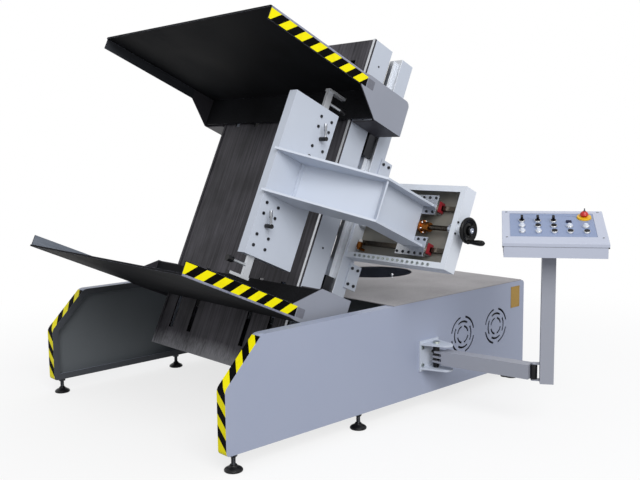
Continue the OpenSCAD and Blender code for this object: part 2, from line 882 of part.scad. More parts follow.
module console_arm() {
    color("#9a9ca5") on_arm() {
        difference() {
            union() {
                translate([0, 0, -48]) cylinder(d = 30, h = 96);
                for (z = [-22, 0, 22]) translate([0, 0, z - 4]) linear_extrude(8) {
                    circle(d = 44);
                    polygon([[0, -22], [46, -carm_w / 2], [46, carm_w / 2], [0, 22]]);
                }
                bar([40, -carm_w / 2, -carm_h / 2], [carm_l - 13, carm_w / 2, carm_h / 2]);
                translate([carm_l - 130, 0, -carm_h / 2 - 10]) cylinder(d = 36, h = 12);
                translate([carm_l, 0, -carm_h / 2]) cylinder(d = barrel_d, h = carm_h);
            }
            translate([0, 0, -49]) cylinder(d = pin_d + 2 * run_gap, h = 98);
            translate([carm_l, 0, -carm_h]) cylinder(d = 14 + 2 * run_gap, h = 2 * carm_h);
            bar([52, -carm_w / 2 + 4, -carm_h / 2 + 4], [carm_l - 25, carm_w / 2 - 4, carm_h / 2 - 4]);
        }
    }
}

module console_post() {
    z0 = carm_z - carm_h / 2 - 15;
    color("#9a9ca5") on_post() {
        difference() {
            bar([-post_s / 2, -post_s / 2, z0], [post_s / 2, post_s / 2, desk_z]);
            bar([-post_s / 2 + 3, -post_s / 2 + 3, z0 + 3], [post_s / 2 - 3, post_s / 2 - 3, desk_z - 3]);
        }
        for (z = [carm_z - carm_h / 2 - 7, carm_z + carm_h / 2 + 1]) {
            bar([-barrel_off, -12, z], [-post_s / 2, 12, z + 6]);
            z_rod(-barrel_off, 0, z, z + 6, 24);
        }
        z_rod(-barrel_off, 0, carm_z - carm_h / 2 - 7, carm_z + carm_h / 2 + 7, 14);
    }
}

module desk_side(inset, top) {
    h0 = desk_h - top;
    rise = tan(desk_slope);
    y0 = -desk_front + inset;
    y1 = -desk_front + desk_d - inset;
    polygon([[y0, inset], [y0, h0 + inset * rise], [y1, h0 + (desk_d - inset) * rise], [y1, inset]]);
}

module console_box() {
    x0 = desk_right - desk_w;
    color("#c5cadb") on_post() translate([0, 0, desk_z]) difference() {
        x_plate(x0, desk_right) desk_side(0, lid_t);
        x_plate(x0 + 3, desk_right - 3) desk_side(3, lid_t - 3);
    }
}

module console_lid() {
    x0 = desk_right - desk_w;
    y0 = -desk_front - 1;
    y1 = -desk_front + desk_d + 1;
    h0 = desk_h - lid_t;
    rise = tan(desk_slope);
    color("#c5cadb") difference() {
        on_post() translate([0, 0, desk_z]) difference() {
            x_plate(x0 - lid_over, desk_right + lid_over) desk_side(0, 0);
            x_plate(x0 - lid_over - 1, desk_right + lid_over + 1)
                polygon([[y0, -9], [y0, h0 - rise], [y1, h0 + (desk_d + 1) * rise], [y1, -9]]);
        }
        on_face(26, 62) translate([0, 0, -1.5]) cube([339, 220, 9]);
        for (at = concat(lamp_at, push_at, [[0, 2], [1, 2], [2, 2]]))
            on_face(col_us[at[0]], row_vs[at[1]]) translate([0, 0, -40]) cylinder(d = press_d + 0.6, h = 60);
        on_face(col_us[4], stop_v) translate([0, 0, -40]) cylinder(d = press_d + 0.6, h = 60);
    }
}

module bezel(od, h) {
    translate([0, 0, -1.5]) difference() {
        cylinder(d1 = od, d2 = od - 4, h = h);
        translate([0, 0, -1]) cylinder(d = press_d + 0.6, h = h + 2);
    }
}

module control_bezels() {
    color(steel) {
        for (at = concat(lamp_at, push_at, [[0, 2], [1, 2], [2, 2]]))
            on_face(col_us[at[0]], row_vs[at[1]]) bezel(bezel_d, 9);
        on_face(col_us[4], stop_v) bezel(60, 8);
        on_face(col_us[3] - 11, row_vs[2] - 9) translate([0, 0, -1.5]) cube([22, 18, 5]);
    }
}

module pilot_lamps() {
    color("#f2f3f5") for (at = lamp_at) on_face(col_us[at[0]], row_vs[at[1]]) translate([0, 0, -10]) {
        cylinder(d = press_d + 0.6, h = 18);
        translate([0, 0, 18]) cylinder(d1 = press_d, d2 = press_d - 8, h = 7);
    }
}

module selector(k) {
    color(black) on_face(col_us[k], row_vs[2]) translate([0, 0, -10]) {
        cylinder(d = press_d, h = 19);
        translate([-5, -13, 19]) cube([10, 26, 16]);
    }
}

module selector_left() {
    selector(0);
}

module selector_mid() {
    selector(1);
}

module selector_right() {
    selector(2);
}

module push_button(k) {
    color(black) on_face(col_us[push_at[k][0]], row_vs[push_at[k][1]]) translate([0, 0, -10])
        cylinder(d = press_d, h = 20);
}

module button_a() {
    push_button(0);
}

module button_b() {
    push_button(1);
}

module button_c() {
    push_button(2);
}

module button_d() {
    push_button(3);
}

module button_e() {
    push_button(4);
}

module estop_button() {
    color("#c8201c") on_face(col_us[4], stop_v) translate([0, 0, -10]) {
        cylinder(d = press_d, h = 26);
        translate([0, 0, 22]) cylinder(d1 = 32, d2 = 36, h = 4);
        translate([0, 0, 26]) cylinder(d1 = 36, d2 = 26, h = 8);
        translate([0, 0, 34]) cylinder(d1 = 26, d2 = 12, h = 6);
    }
}

side_panel_near();
side_panel_far();
top_cover();
rear_wall();
cabinet_bulkhead();
cross_members();
levelling_feet();
tilt_bearings();
tilt_gearmotor();
blower_ducts();
cable_gland();
console_bracket();
front_fan();
rear_fan();
tilt_shaft();
tilt_beam();
slew_housing();
slew_motor();
slew_hub();
mast_plate();
mast_sides();
bright_rails();
rear_columns();
mast_crossbeams();
column_brackets();
mast_bolts();
rail_box();
clamp_screw();
lower_tray();
lower_cheeks();
lower_carriage();
upper_tray();
upper_cheeks();
upper_carriage();
jog_arm();
jog_plate();
jog_blocks();
lead_nut();
lead_screw();
handwheel();
crank_handle();
lower_nozzle_bar();
upper_nozzle_bar();
lower_clamp_lever();
upper_clamp_lever();
console_arm();
console_post();
console_box();
console_lid();
control_bezels();
pilot_lamps();
selector_left();
selector_mid();
selector_right();
button_a();
button_b();
button_c();
button_d();
button_e();
estop_button();
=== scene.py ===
"""Looks of the pile turner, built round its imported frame.

The frame holds every moving body and its solids. This script gives each solid its finish, adds the
thin and turned pieces that the solids leave plain (tapes, screws, threads, seals, trim), and sets the
floor, the light and the camera. Pieces are drawn in millimetres and placed in metres.
"""

import json
import logging
import math
from dataclasses import dataclass, field
from enum import Enum
from typing import Any, Callable, Sequence

import bmesh
import bpy
from mathutils import Euler, Matrix, Vector

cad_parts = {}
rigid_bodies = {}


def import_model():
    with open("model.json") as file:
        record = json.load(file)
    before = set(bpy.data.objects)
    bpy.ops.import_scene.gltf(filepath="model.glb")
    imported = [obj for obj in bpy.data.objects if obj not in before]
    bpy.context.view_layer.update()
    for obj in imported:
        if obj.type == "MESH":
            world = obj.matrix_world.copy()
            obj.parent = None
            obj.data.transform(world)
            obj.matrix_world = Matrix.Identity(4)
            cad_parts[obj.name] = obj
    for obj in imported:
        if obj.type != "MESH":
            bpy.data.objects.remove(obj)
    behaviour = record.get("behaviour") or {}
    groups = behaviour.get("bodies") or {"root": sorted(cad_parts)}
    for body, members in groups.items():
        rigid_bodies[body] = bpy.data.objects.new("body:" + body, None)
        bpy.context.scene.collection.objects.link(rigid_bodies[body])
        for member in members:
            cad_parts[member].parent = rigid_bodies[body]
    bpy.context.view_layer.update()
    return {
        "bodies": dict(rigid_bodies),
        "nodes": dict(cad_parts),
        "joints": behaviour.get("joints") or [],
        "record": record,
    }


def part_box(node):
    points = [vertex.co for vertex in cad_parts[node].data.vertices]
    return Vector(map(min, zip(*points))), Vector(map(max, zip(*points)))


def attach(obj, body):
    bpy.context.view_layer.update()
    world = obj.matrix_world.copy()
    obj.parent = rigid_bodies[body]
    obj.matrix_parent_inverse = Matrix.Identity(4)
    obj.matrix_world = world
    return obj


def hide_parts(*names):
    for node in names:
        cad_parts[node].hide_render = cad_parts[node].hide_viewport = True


LOG = logging.getLogger("pile_turner")
MM = 0.001
MAST_LEAN_DEG = -24.2
# Vertices of a solid closer than this are one vertex
WELD_MM = 0.02
# Gap between the paint and a tape stuck on it
STUCK_MM = 0.45
# Faces that meet flatter than the first are one facet, and steeper than the second they form an edge
FLAT_RAD = math.radians(0.6)
SHARP_RAD = math.radians(32)
# A face looks along an axis if that part of its normal is more than this
FACING = 0.5

# Turns in degrees that point a piece's z axis along another axis
ALONG_X = (0, 90, 0)
AGAINST_X = (0, -90, 0)
ALONG_Y = (-90, 0, 0)
AGAINST_Y = (90, 0, 0)

Tree = bpy.types.NodeTree
Node = bpy.types.Node
BMesh = bmesh.types.BMesh
# A shape draws itself into an empty mesh, and a stamp is a shape, the number of its finish and its places
Shape = Callable[[BMesh], None]
Stamp = tuple[Shape, int, Sequence[Matrix]]
# A chooser picks the number of a finish from a face's middle and normal
Chooser = Callable[[Vector, Vector], int]


class Side(Enum):
    """The two sides of the machine, as the sign of x."""

    NEAR = 1
    FAR = -1

    @property
    def outward(self) -> tuple[float, float, float]:
        """The turn that points a piece out of this side."""
        return ALONG_X if self is Side.NEAR else AGAINST_X

    @property
    def inward(self) -> tuple[float, float, float]:
        """The turn that points a piece into the machine from this side."""
        return AGAINST_X if self is Side.NEAR else ALONG_X


class End(Enum):
    """The two ends of the mast, as the sign of its own height."""

    UPPER = 1
    LOWER = -1


# Colours and nodes


def linear(colour: str) -> tuple[float, float, float, float]:
    """Turns an sRGB hex colour into linear RGBA.

    Args:
        colour: six hex digits after a #.

    Returns:
        The linear red, green, blue and an alpha of 1.
    """
    parts = [int(colour[i:i + 2], 16) / 255 for i in (1, 3, 5)]
    red, green, blue = [p / 12.92 if p <= 0.04045 else ((p + 0.055) / 1.055) ** 2.4 for p in parts]
    return red, green, blue, 1.0


def add_node(tree: Tree, kind: str, settings: dict[str, Any], inputs: dict[Any, Any]) -> Node:
    """Adds a node with its settings and links.

    Args:
        tree: the tree that the node goes into.
        kind: the node's type name.
        settings: attributes to set on the node.
        inputs: socket name or number to a value, or to a (node, output) pair that is linked to it.

    Returns:
        The new node.
    """
    node = tree.nodes.new(kind)
    for key, value in settings.items():
        setattr(node, key, value)
    for key, value in inputs.items():
        if isinstance(value, tuple) and isinstance(value[0], Node):
            tree.links.new(value[0].outputs[value[1]], node.inputs[key])
        else:
            node.inputs[key].default_value = value
    return node


# Finishes


@dataclass(frozen=True)
class Finish:
    """A surface finish: one colour with a roughness, varied by nodes in the classes below."""

    name: str
    colour: str
    roughness: float
    specular: float = field(default=0.5, kw_only=True)

    def material(self) -> bpy.types.Material:
        """Makes the finish's material once.

        Returns:
            The material of that name.
        """
        found = bpy.data.materials.get(self.name)
        if found:
            return found
        made = bpy.data.materials.new(self.name)
        made.use_nodes = True
        made.diffuse_color = linear(self.colour)
        tree = made.node_tree
        tree.nodes.clear()
        settings = {"Base Color": linear(self.colour), "Roughness": self.roughness,
                    "Specular IOR Level": self.specular}
        shader = add_node(tree, "ShaderNodeBsdfPrincipled", {}, settings)
        add_node(tree, "ShaderNodeOutputMaterial", {}, {"Surface": (shader, "BSDF")})
        place = add_node(tree, "ShaderNodeTexCoord", {}, {})
        self.dress(tree, shader, place)
        return made

    def dress(self, tree: Tree, shader: Node, place: Node) -> None:
        """Adds what varies the finish over the surface."""

    def vary(self, tree: Tree, shader: Node, fac: tuple[Node, Any], other: str, swing: float) -> None:
        """Lets a pattern shift the colour and the roughness.

        Args:
            tree: the material's tree.
            shader: the material's shader.
            fac: the pattern's node and output.
            other: the colour at the pattern's high end.
            swing: how far the roughness goes each way.
        """
        ends = {6: linear(self.colour), 7: linear(other), 0: fac}
        mixed = add_node(tree, "ShaderNodeMix", {"data_type": "RGBA"}, ends)
        tree.links.new(mixed.outputs[2], shader.inputs["Base Color"])
        limits = {"Value": fac, "To Min": self.roughness - swing, "To Max": self.roughness + swing}
        rough = add_node(tree, "ShaderNodeMapRange", {}, limits)
        tree.links.new(rough.outputs["Result"], shader.inputs["Roughness"])

    def emboss(self, tree: Tree, shader: Node, height: tuple[Node, Any], depth_mm: float,
               strength: float) -> None:
        """Lets a pattern raise the surface.

        Args:
            tree: the material's tree.
            shader: the material's shader.
            height: the pattern's node and output.
            depth_mm: the height of the pattern in millimetres.
            strength: how much of the bump shows.
        """
        sockets = {"Height": height, "Distance": depth_mm * MM, "Strength": strength}
        bump = add_node(tree, "ShaderNodeBump", {}, sockets)
        tree.links.new(bump.outputs["Normal"], shader.inputs["Normal"])


@dataclass(frozen=True)
class PowderCoat(Finish):
    """Satin powder coat on sheet steel: an even colour that clouds a little over a hand's width, with the
    low dimples of orange peel in its gloss. The peel is drawn at 7 mm, as finer would not show."""

    cloud: str
    cloud_mm: float = 260.0
    peel_mm: float = 7.0
    peel_depth_mm: float = 0.05

    def dress(self, tree: Tree, shader: Node, place: Node) -> None:
        """Adds the clouding and the orange peel."""
        where = {"Vector": (place, "Object")}
        size = {"Scale": 1 / (self.cloud_mm * MM), "Detail": 3.0}
        broad = add_node(tree, "ShaderNodeTexNoise", {}, where | size)
        self.vary(tree, shader, (broad, "Fac"), self.cloud, swing=0.06)
        size = {"Scale": 1 / (self.peel_mm * MM), "Detail": 2.0}
        peel = add_node(tree, "ShaderNodeTexNoise", {}, where | size)
        self.emboss(tree, shader, (peel, "Fac"), self.peel_depth_mm, strength=0.35)


@dataclass(frozen=True)
class GritCoat(Finish):
    """Textured paint with a sandy grain: matt, with dark and light specks. The grain is drawn at 5 mm,
    as the real 1 mm grit would not show, and dust gathers in patches about 180 mm wide."""

    speck: str
    grain_mm: float = 5.0
    dust_mm: float = 180.0

    def dress(self, tree: Tree, shader: Node, place: Node) -> None:
        """Adds the specks, the dust and the sandy relief."""
        where = {"Vector": (place, "Object")}
        size = {"Scale": 1 / (self.grain_mm * MM), "Detail": 3.0}
        fine = add_node(tree, "ShaderNodeTexNoise", {}, where | size)
        size = {"Scale": 1 / (self.dust_mm * MM), "Detail": 4.0}
        dust = add_node(tree, "ShaderNodeTexNoise", {}, where | size)
        factors = {0: (fine, "Fac"), 1: (dust, "Fac")}
        both = add_node(tree, "ShaderNodeMath", {"operation": "MULTIPLY"}, factors)
        limits = {"Value": (both, 0), "From Min": 0.1, "From Max": 0.42}
        spread = add_node(tree, "ShaderNodeMapRange", {}, limits)
        self.vary(tree, shader, (spread, "Result"), self.speck, swing=0.06)
        self.emboss(tree, shader, (fine, "Fac"), depth_mm=0.3, strength=0.4)


@dataclass(frozen=True)
class RolledPlate(Finish):
    """Dark coat on rolled plate: semi-gloss, with long faint streaks along the rolling direction and
    rubbed patches where loads have slid over it. Streaks are 9 mm wide and 30 times as long."""

    rubbed: str
    lean_deg: float = MAST_LEAN_DEG
    along: tuple[float, float, float] = (1.0, 1.0, 0.033)
    streak_mm: float = 9.0
    patch_mm: float = 240.0

    def dress(self, tree: Tree, shader: Node, place: Node) -> None:
        """Adds the streaks and the rubbed patches."""
        lean = {"Vector": (place, "Object"), "Rotation": Euler((math.radians(-self.lean_deg), 0, 0))}
        turned_to = add_node(tree, "ShaderNodeMapping", {}, lean)
        drawn = add_node(tree, "ShaderNodeMapping", {}, {"Vector": (turned_to, 0), "Scale": self.along})
        size = {"Scale": 1 / (self.streak_mm * MM), "Detail": 3.0, "Roughness": 0.6}
        streak = add_node(tree, "ShaderNodeTexNoise", {}, {"Vector": (drawn, 0)} | size)
        size = {"Scale": 1 / (self.patch_mm * MM), "Detail": 4.0}
        patch = add_node(tree, "ShaderNodeTexNoise", {}, {"Vector": (place, "Object")} | size)
        factors = {0: (streak, "Fac"), 1: (patch, "Fac")}
        both = add_node(tree, "ShaderNodeMath", {"operation": "MULTIPLY"}, factors)
        limits = {"Value": (both, 0), "From Min": 0.14, "From Max": 0.4}
        spread = add_node(tree, "ShaderNodeMapRange", {}, limits)
        self.vary(tree, shader, (spread, "Result"), self.rubbed, swing=0.08)
        self.emboss(tree, shader, (streak, "Fac"), depth_mm=0.05, strength=0.25)


@dataclass(frozen=True)
class ScuffedPlate(RolledPlate):
    """Rolled plate whose lower end is scraped pale by loads: ragged scratches that thin out upwards over a
    hand's height. The scratches are drawn 7 mm wide and 28 mm long, as finer would not show."""

    scraped: str = "#9b9ba0"
    foot_m: float = 0.01
    reach_m: float = 0.11
    scratch_mm: float = 7.0
    drag: tuple[float, float, float] = (1.0, 1.0, 0.25)

    def dress(self, tree: Tree, shader: Node, place: Node) -> None:
        """Adds the scraped foot over the rolled plate."""
        super().dress(tree, shader, place)
        lean = {"Vector": (place, "Object"), "Rotation": Euler((math.radians(-self.lean_deg), 0, 0))}
        turned_to = add_node(tree, "ShaderNodeMapping", {}, lean)
        parts = add_node(tree, "ShaderNodeSeparateXYZ", {}, {0: (turned_to, 0)})
        limits = {"Value": (parts, "Z"), "From Min": self.foot_m, "From Max": self.foot_m + self.reach_m,
                  "To Min": 1.0, "To Max": 0.0}
        low = add_node(tree, "ShaderNodeMapRange", {}, limits)
        drawn = add_node(tree, "ShaderNodeMapping", {}, {"Vector": (turned_to, 0), "Scale": self.drag})
        size = {"Scale": 1 / (self.scratch_mm * MM), "Detail": 4.0, "Roughness": 0.7}
        scratch = add_node(tree, "ShaderNodeTexNoise", {}, {"Vector": (drawn, 0)} | size)
        size = {"Scale": 1 / (self.patch_mm * MM), "Detail": 3.0}
        patch = add_node(tree, "ShaderNodeTexNoise", {}, {"Vector": (place, "Object")} | size)
        factors = {0: (scratch, "Fac"), 1: (patch, "Fac")}
        ragged = add_node(tree, "ShaderNodeMath", {"operation": "MULTIPLY"}, factors)
        factors = {0: (ragged, 0), 1: (low, "Result")}
        shown = add_node(tree, "ShaderNodeMath", {"operation": "MULTIPLY"}, factors)
        limits = {"Value": (shown, 0), "From Min": 0.06, "From Max": 0.24, "To Max": 0.85}
        share = add_node(tree, "ShaderNodeMapRange", {}, limits)
        under = shader.inputs["Base Color"].links[0].from_node
        ends = {0: (share, "Result"), 6: (under, 2), 7: linear(self.scraped)}
        mixed = add_node(tree, "ShaderNodeMix", {"data_type": "RGBA"}, ends)
        tree.links.new(mixed.outputs[2], shader.inputs["Base Color"])


@dataclass(frozen=True)
class BareMetal(Finish):
    """Machined metal: bright, with fine tool lines across or along the work. The lines are drawn 2.5 mm
    apart, as real ones would not show."""

    wear_and_highlight: str
    lines: tuple[float, float, float] = (1.0, 1.0, 0.04)
    lean_deg: float = 0.0
    line_mm: float = 2.5
    swing: float = 0.05
    relief: float = 0.3

    def dress(self, tree: Tree, shader: Node, place: Node) -> None:
        """Adds the tool lines."""
        shader.inputs["Metallic"].default_value = 1.0
        lean = {"Vector": (place, "Object"), "Rotation": Euler((math.radians(-self.lean_deg), 0, 0))}
        turned_to = add_node(tree, "ShaderNodeMapping", {}, lean)
        drawn = add_node(tree, "ShaderNodeMapping", {}, {"Vector": (turned_to, 0), "Scale": self.lines})
        size = {"Scale": 1 / (self.line_mm * MM), "Detail": 2.0}
        tool = add_node(tree, "ShaderNodeTexNoise", {}, {"Vector": (drawn, 0)} | size)
        self.vary(tree, shader, (tool, "Fac"), self.wear_and_highlight, self.swing)
        self.emboss(tree, shader, (tool, "Fac"), depth_mm=0.02, strength=self.relief)


@dataclass(frozen=True)
class Moulding(Finish):
    """Moulded plastic or rubber: a dense colour with a fine leather-like grain, drawn at 3 mm."""

    high: str
    grain_mm: float = 3.0
    grain_depth_mm: float = 0.08
    ior: float = 1.5

    def dress(self, tree: Tree, shader: Node, place: Node) -> None:
        """Adds the moulded grain."""
        shader.inputs["IOR"].default_value = self.ior
        size = {"Scale": 1 / (self.grain_mm * MM), "Detail": 2.0}
        grain = add_node(tree, "ShaderNodeTexNoise", {}, {"Vector": (place, "Object")} | size)
        self.vary(tree, shader, (grain, "Fac"), self.high, swing=0.04)
        self.emboss(tree, shader, (grain, "Fac"), self.grain_depth_mm, strength=0.2)


@dataclass(frozen=True)
class TapeVinyl(Finish):
    """Printed vinyl tape: a flat, strong colour with a soft gloss, scuffed in patches about 60 mm wide."""

    scuffed: str
    scuff_mm: float = 60.0

    def dress(self, tree: Tree, shader: Node, place: Node) -> None:
        """Adds the scuffs."""
        size = {"Scale": 1 / (self.scuff_mm * MM), "Detail": 6.0, "Roughness": 0.65}
        scuff = add_node(tree, "ShaderNodeTexNoise", {}, {"Vector": (place, "Object")} | size)
        limits = {"Value": (scuff, "Fac"), "From Min": 0.52, "From Max": 0.8}
        spread = add_node(tree, "ShaderNodeMapRange", {}, limits)
        self.vary(tree, shader, (spread, "Result"), self.scuffed, swing=0.05)


# Stretch of the lines or streaks along x, y and z: a small number draws them out along that axis
ALONG_TRAY = (1.0, 0.033, 1.0)
ALONG_SCREW = (0.2, 1.0, 1.0)
MILLED_ACROSS = (0.05, 1.0, 1.0)
TURNED_ROUND = (1.0, 0.1, 0.1)
EVEN = (1.0, 1.0, 1.0)

# Satin powder coats, cool and even; recesses, lips and the cheeks' insides carry painted shade, darker and
# duller
PANEL_GREY = PowderCoat("powder_coat_blue_grey", "#9fa7bd", 0.45, "#a6adc1", specular=0.35)
RECESS_SHADE_GREY = PowderCoat("powder_coat_shaded_grey", "#6c7175", 0.55, "#767b7f", specular=0.25)
LIP_SHADE_GREY = PowderCoat("powder_coat_lip_grey", "#4c4f54", 0.5, "#54575d", specular=0.2)
BAY_SHADE_DARK = PowderCoat("powder_coat_anthracite", "#38373c", 0.5, "#424046", specular=0.25)
CHEEK_GREY = PowderCoat("powder_coat_mid_grey", "#8c909c", 0.42, "#9599a5", specular=0.4)
PALE_GREY = PowderCoat("powder_coat_pale_grey", "#c0c7d4", 0.42, "#c7ceda", specular=0.4)
BOX_WHITE = PowderCoat("powder_coat_off_white", "#d7dde7", 0.42, "#dde2ea", specular=0.4)
STAND_GREY = PowderCoat("powder_coat_stand_grey", "#989ba6", 0.42, "#a0a3ae", specular=0.35)
CONSOLE_LILAC = PowderCoat("powder_coat_pale_lilac", "#b5bbcb", 0.42, "#bcc1d1", specular=0.3)
# The console's film is a printed blue-grey, as dull as the paint round it
CONSOLE_BLUE = PowderCoat("printed_film_blue_grey", "#8290b0", 0.42, "#8a98b7", specular=0.3)
# Castings look coarser under their paint, and bare galvanised sheet is warm with blotched spangle
CASTING_GREY = PowderCoat("painted_casting_dark", "#3b3e43", 0.5, "#45484d", peel_depth_mm=0.15)
GALVANISED = PowderCoat("galvanised_sheet", "#8d877c", 0.4, "#7a7b75", cloud_mm=60.0)
# The cover's sandy coat looks warm and dead matt beside the panels
COVER_GRIT = GritCoat("textured_coat_warm_grey", "#a7a4a6", 0.62, "#959294", specular=0.3)
# Plate that loads slide over: near black and streaked, paler where it is rubbed. The mast plate's finish also
# gives painted shade to the sides' front faces and the corner strips
MAST_PLATE_AND_SHADE = ScuffedPlate("dark_coated_mast_plate", "#29282c", 0.45, "#5b595f", specular=0.12)
# The tray is its dark coat darkened further by painted shade, where the load on it would shade it
TRAY_COAT_AND_SHADE = RolledPlate("dark_coated_tray", "#151517", 0.6, "#252629", along=ALONG_TRAY, specular=0.03)
# Flange insides: one coat, darkened by painted shade on the upper tray and lightened by a painted sheen on
# the lower
FLANGE_SHADE = RolledPlate("dark_coated_flange", "#323438", 0.5, "#3e4045", along=ALONG_TRAY, specular=0.1)
FLANGE_SHEEN = RolledPlate("slate_coated_flange", "#747b87", 0.4, "#868d98", along=ALONG_TRAY, specular=0.4)
# The trays' folded edges show the sheet's grey with a painted highlight
EDGE_GREY_AND_HIGHLIGHT = RolledPlate("rubbed_tray_edge", "#9a9db0", 0.45, "#74778a", patch_mm=90.0, specular=0.3)
# Bare and plated metals: chrome mirrors, ground and milled steel is silky, oil makes the screw brown
CHROME = BareMetal("hard_chrome_rail", "#dadce0", 0.22, "#d0d3d8", lean_deg=MAST_LEAN_DEG, swing=0.03,
                   relief=0.01)
GROUND_STEEL = BareMetal("ground_guide_steel", "#d2d5da", 0.5, "#c2c5ca", lean_deg=MAST_LEAN_DEG, relief=0.1)
SCREW_STEEL = BareMetal("rolled_screw_steel", "#a9abb0", 0.22, "#8d9096", lines=ALONG_SCREW)
OILED_STEEL = BareMetal("oiled_lead_screw", "#5e554a", 0.24, "#3f3a34", lines=ALONG_SCREW)
MACHINED = BareMetal("milled_steel", "#a8abb1", 0.32, "#9498a0", lines=MILLED_ACROSS)
BLOCK_NICKEL = BareMetal("nickel_plated_block", "#c9cbd0", 0.26, "#b7babf", lines=MILLED_ACROSS)
BRONZE = BareMetal("turned_bronze", "#a8662c", 0.28, "#7f4c22", lines=TURNED_ROUND)
BRASS = BareMetal("etched_brass", "#a98b4b", 0.36, "#927540", lines=EVEN, line_mm=6.0)
DARK_SCREW = BareMetal("blackened_screw", "#3a3b3f", 0.35, "#2a2b2e", lines=EVEN)
ZINC_BOLT = BareMetal("zinc_plated_bolt", "#b9bfba", 0.3, "#a3aaa4", lines=EVEN)
BEZEL_CHROME = BareMetal("plated_bezel", "#e2e4e8", 0.18, "#d3d6db", lines=EVEN)
# Plastics and rubber: deep blacks from glossy knobs to dull seals, and the controls' plain colours
# The lift slots' walls are black as painted shade
SLOT_SHADE_BLACK = Moulding("black_slot_lining", "#0b0b0c", 0.6, "#111112", specular=0.05)
BLACK_PLASTIC = Moulding("black_phenolic", "#121214", 0.3, "#19191c", specular=0.25)
BLACK_GLOSS = Moulding("polished_bakelite", "#0a0a0b", 0.12, "#101012", grain_depth_mm=0.01, specular=0.2)
# Black rubber for the lid's gasket, and the same black as painted shade in the mast's gaps
RUBBER_AND_GAP_SHADE_BLACK = Moulding("black_rubber", "#161617", 0.5, "#1f1f20", grain_depth_mm=0.15, specular=0.25)
NAVY_PLASTIC = Moulding("navy_plastic", "#0d1330", 0.4, "#141a3a", specular=0.1)
CONTROL_BLACK = Moulding("black_control_plastic", "#08080a", 0.35, "#0e0e12", specular=0.1)
LENS_WHITE = Moulding("milky_lens", "#d2d8e3", 0.25, "#c7cedb", grain_depth_mm=0.02, specular=0.3)
STOP_RED = Moulding("stop_red_plastic", "#c22018", 0.3, "#b21a14", grain_depth_mm=0.03)
COLLAR_YELLOW = Moulding("collar_yellow_plastic", "#e9b81a", 0.35, "#dcaa12", grain_depth_mm=0.03)
SEAL_RED = Moulding("red_nitrile_seal", "#99202c", 0.4, "#7d1822")
CAP_WHITE = Moulding("white_nylon", "#e7e6e2", 0.4, "#dad9d4")
# Tape: a clear yellow and a dull black, and a plain grey patch, darker than the cheek
TAPE_YELLOW = TapeVinyl("yellow_vinyl", "#faee00", 0.5, "#eedc06", specular=0.15)
TAPE_BLACK = TapeVinyl("black_vinyl", "#070707", 0.6, "#121211", specular=0.03)
PATCH_GREY = TapeVinyl("worn_grey_patch", "#70727c", 0.6, "#82848d", scuff_mm=12.0, specular=0.3)


# Frames and pieces


def frame_of(x: Vector, y: Vector, z: Vector, origin: Vector) -> Matrix:
    """A frame in millimetres from its three axes and its origin in metres.

    Args:
        x: first axis.
        y: second axis.
        z: third axis.
        origin: where the frame's zero is.

    Returns:
        A matrix from the frame's millimetres to metres.
    """
    turned_to = Matrix((x, y, z)).transposed().to_4x4()
    return Matrix.Translation(origin) @ turned_to @ Matrix.Scale(MM, 4)


@dataclass(frozen=True)
class Places:
    """The frames that pieces are drawn in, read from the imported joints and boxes."""

    nodes: dict[str, bpy.types.Object]
    joints: dict[str, dict[str, Any]]
    base: Matrix
    mast: Matrix
    arm: Matrix
    face: Matrix

    @classmethod
    def read(cls, frame: dict[str, Any]) -> "Places":
        """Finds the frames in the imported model.


        Returns:
            The places of the base, the mast, the console arm and the console's face.
        """
        joints = {joint["name"]: joint for joint in frame["joints"]}
        east, north, up = Vector((1, 0, 0)), Vector((0, 1, 0)), Vector((0, 0, 1))
        near_low, near_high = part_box("side_panel_near")
        far_low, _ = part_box("side_panel_far")
        base = frame_of(east, north, up, Vector(((near_high.x + far_low.x) / 2, near_low.y, 0)))
        turn = joints["turn"]
        back = Vector(turn["axis"]).normalized()
        turn_depth = 390 * MM
        mast = frame_of(east, back, east.cross(back), Vector(turn["pos_m"]) - back * turn_depth)
        pivot = Vector(joints["console_swing"]["pos_m"])
        reach = (Vector(joints["console_swivel"]["pos_m"]) - pivot).normalized()
        arm = frame_of(reach, up.cross(reach), up, pivot)
        left, right = joints["selector_left_turn"], joints["selector_right_turn"]
        out = Vector(left["axis"]).normalized()
        across = (Vector(right["pos_m"]) - Vector(left["pos_m"])).normalized()
        slope = out.cross(across)
        knob_u, knob_v = 75 * MM, 202 * MM
        face = frame_of(across, slope, out, Vector(left["pos_m"]) - across * knob_u - slope * knob_v)
        return cls(frame["nodes"], joints, base, mast, arm, face)

    def extent(self, name: str, place: Matrix) -> tuple[Vector, Vector]:
        """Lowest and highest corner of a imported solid, seen in one of the frames.

        Args:
            name: the solid's name.
            place: the frame.

        Returns:
            The two corners in the frame's millimetres.
        """
        inverse = place.inverted()
        points = [inverse @ vert.co for vert in self.nodes[name].data.vertices]
        low = Vector([min(point[k] for point in points) for k in range(3)])
        high = Vector([max(point[k] for point in points) for k in range(3)])
        return low, high

    def axis_point(self, joint: str, place: Matrix) -> Vector:
        """The point that a joint turns about, in a frame's millimetres."""
        return place.inverted() @ Vector(self.joints[joint]["pos_m"])


def at(x: float, y: float, z: float, turn: tuple[float, float, float] = (0, 0, 0)) -> Matrix:
    """A place in a frame: a point in millimetres, and a turn in degrees about x, y and z."""
    return Matrix.Translation((x, y, z)) @ Euler([math.radians(a) for a in turn]).to_matrix().to_4x4()


def stamped(*stamps: Stamp) -> BMesh:
    """Draws shapes and sets copies of each at its places.

    Args:
        stamps: each shape with the number of its finish and its places.

    Returns:
        One mesh with all the copies.
    """
    whole = bmesh.new()
    mesh = bpy.data.meshes.new("stamp")
    for shape, number, places in stamps:
        part = bmesh.new()
        shape(part)
        for face in part.faces:
            face.material_index = number
        for place in places:
            copy = part.copy()
            copy.transform(place)
            copy.to_mesh(mesh)
            copy.free()
            whole.from_mesh(mesh)
        part.free()
    bpy.data.meshes.remove(mesh)
    return whole


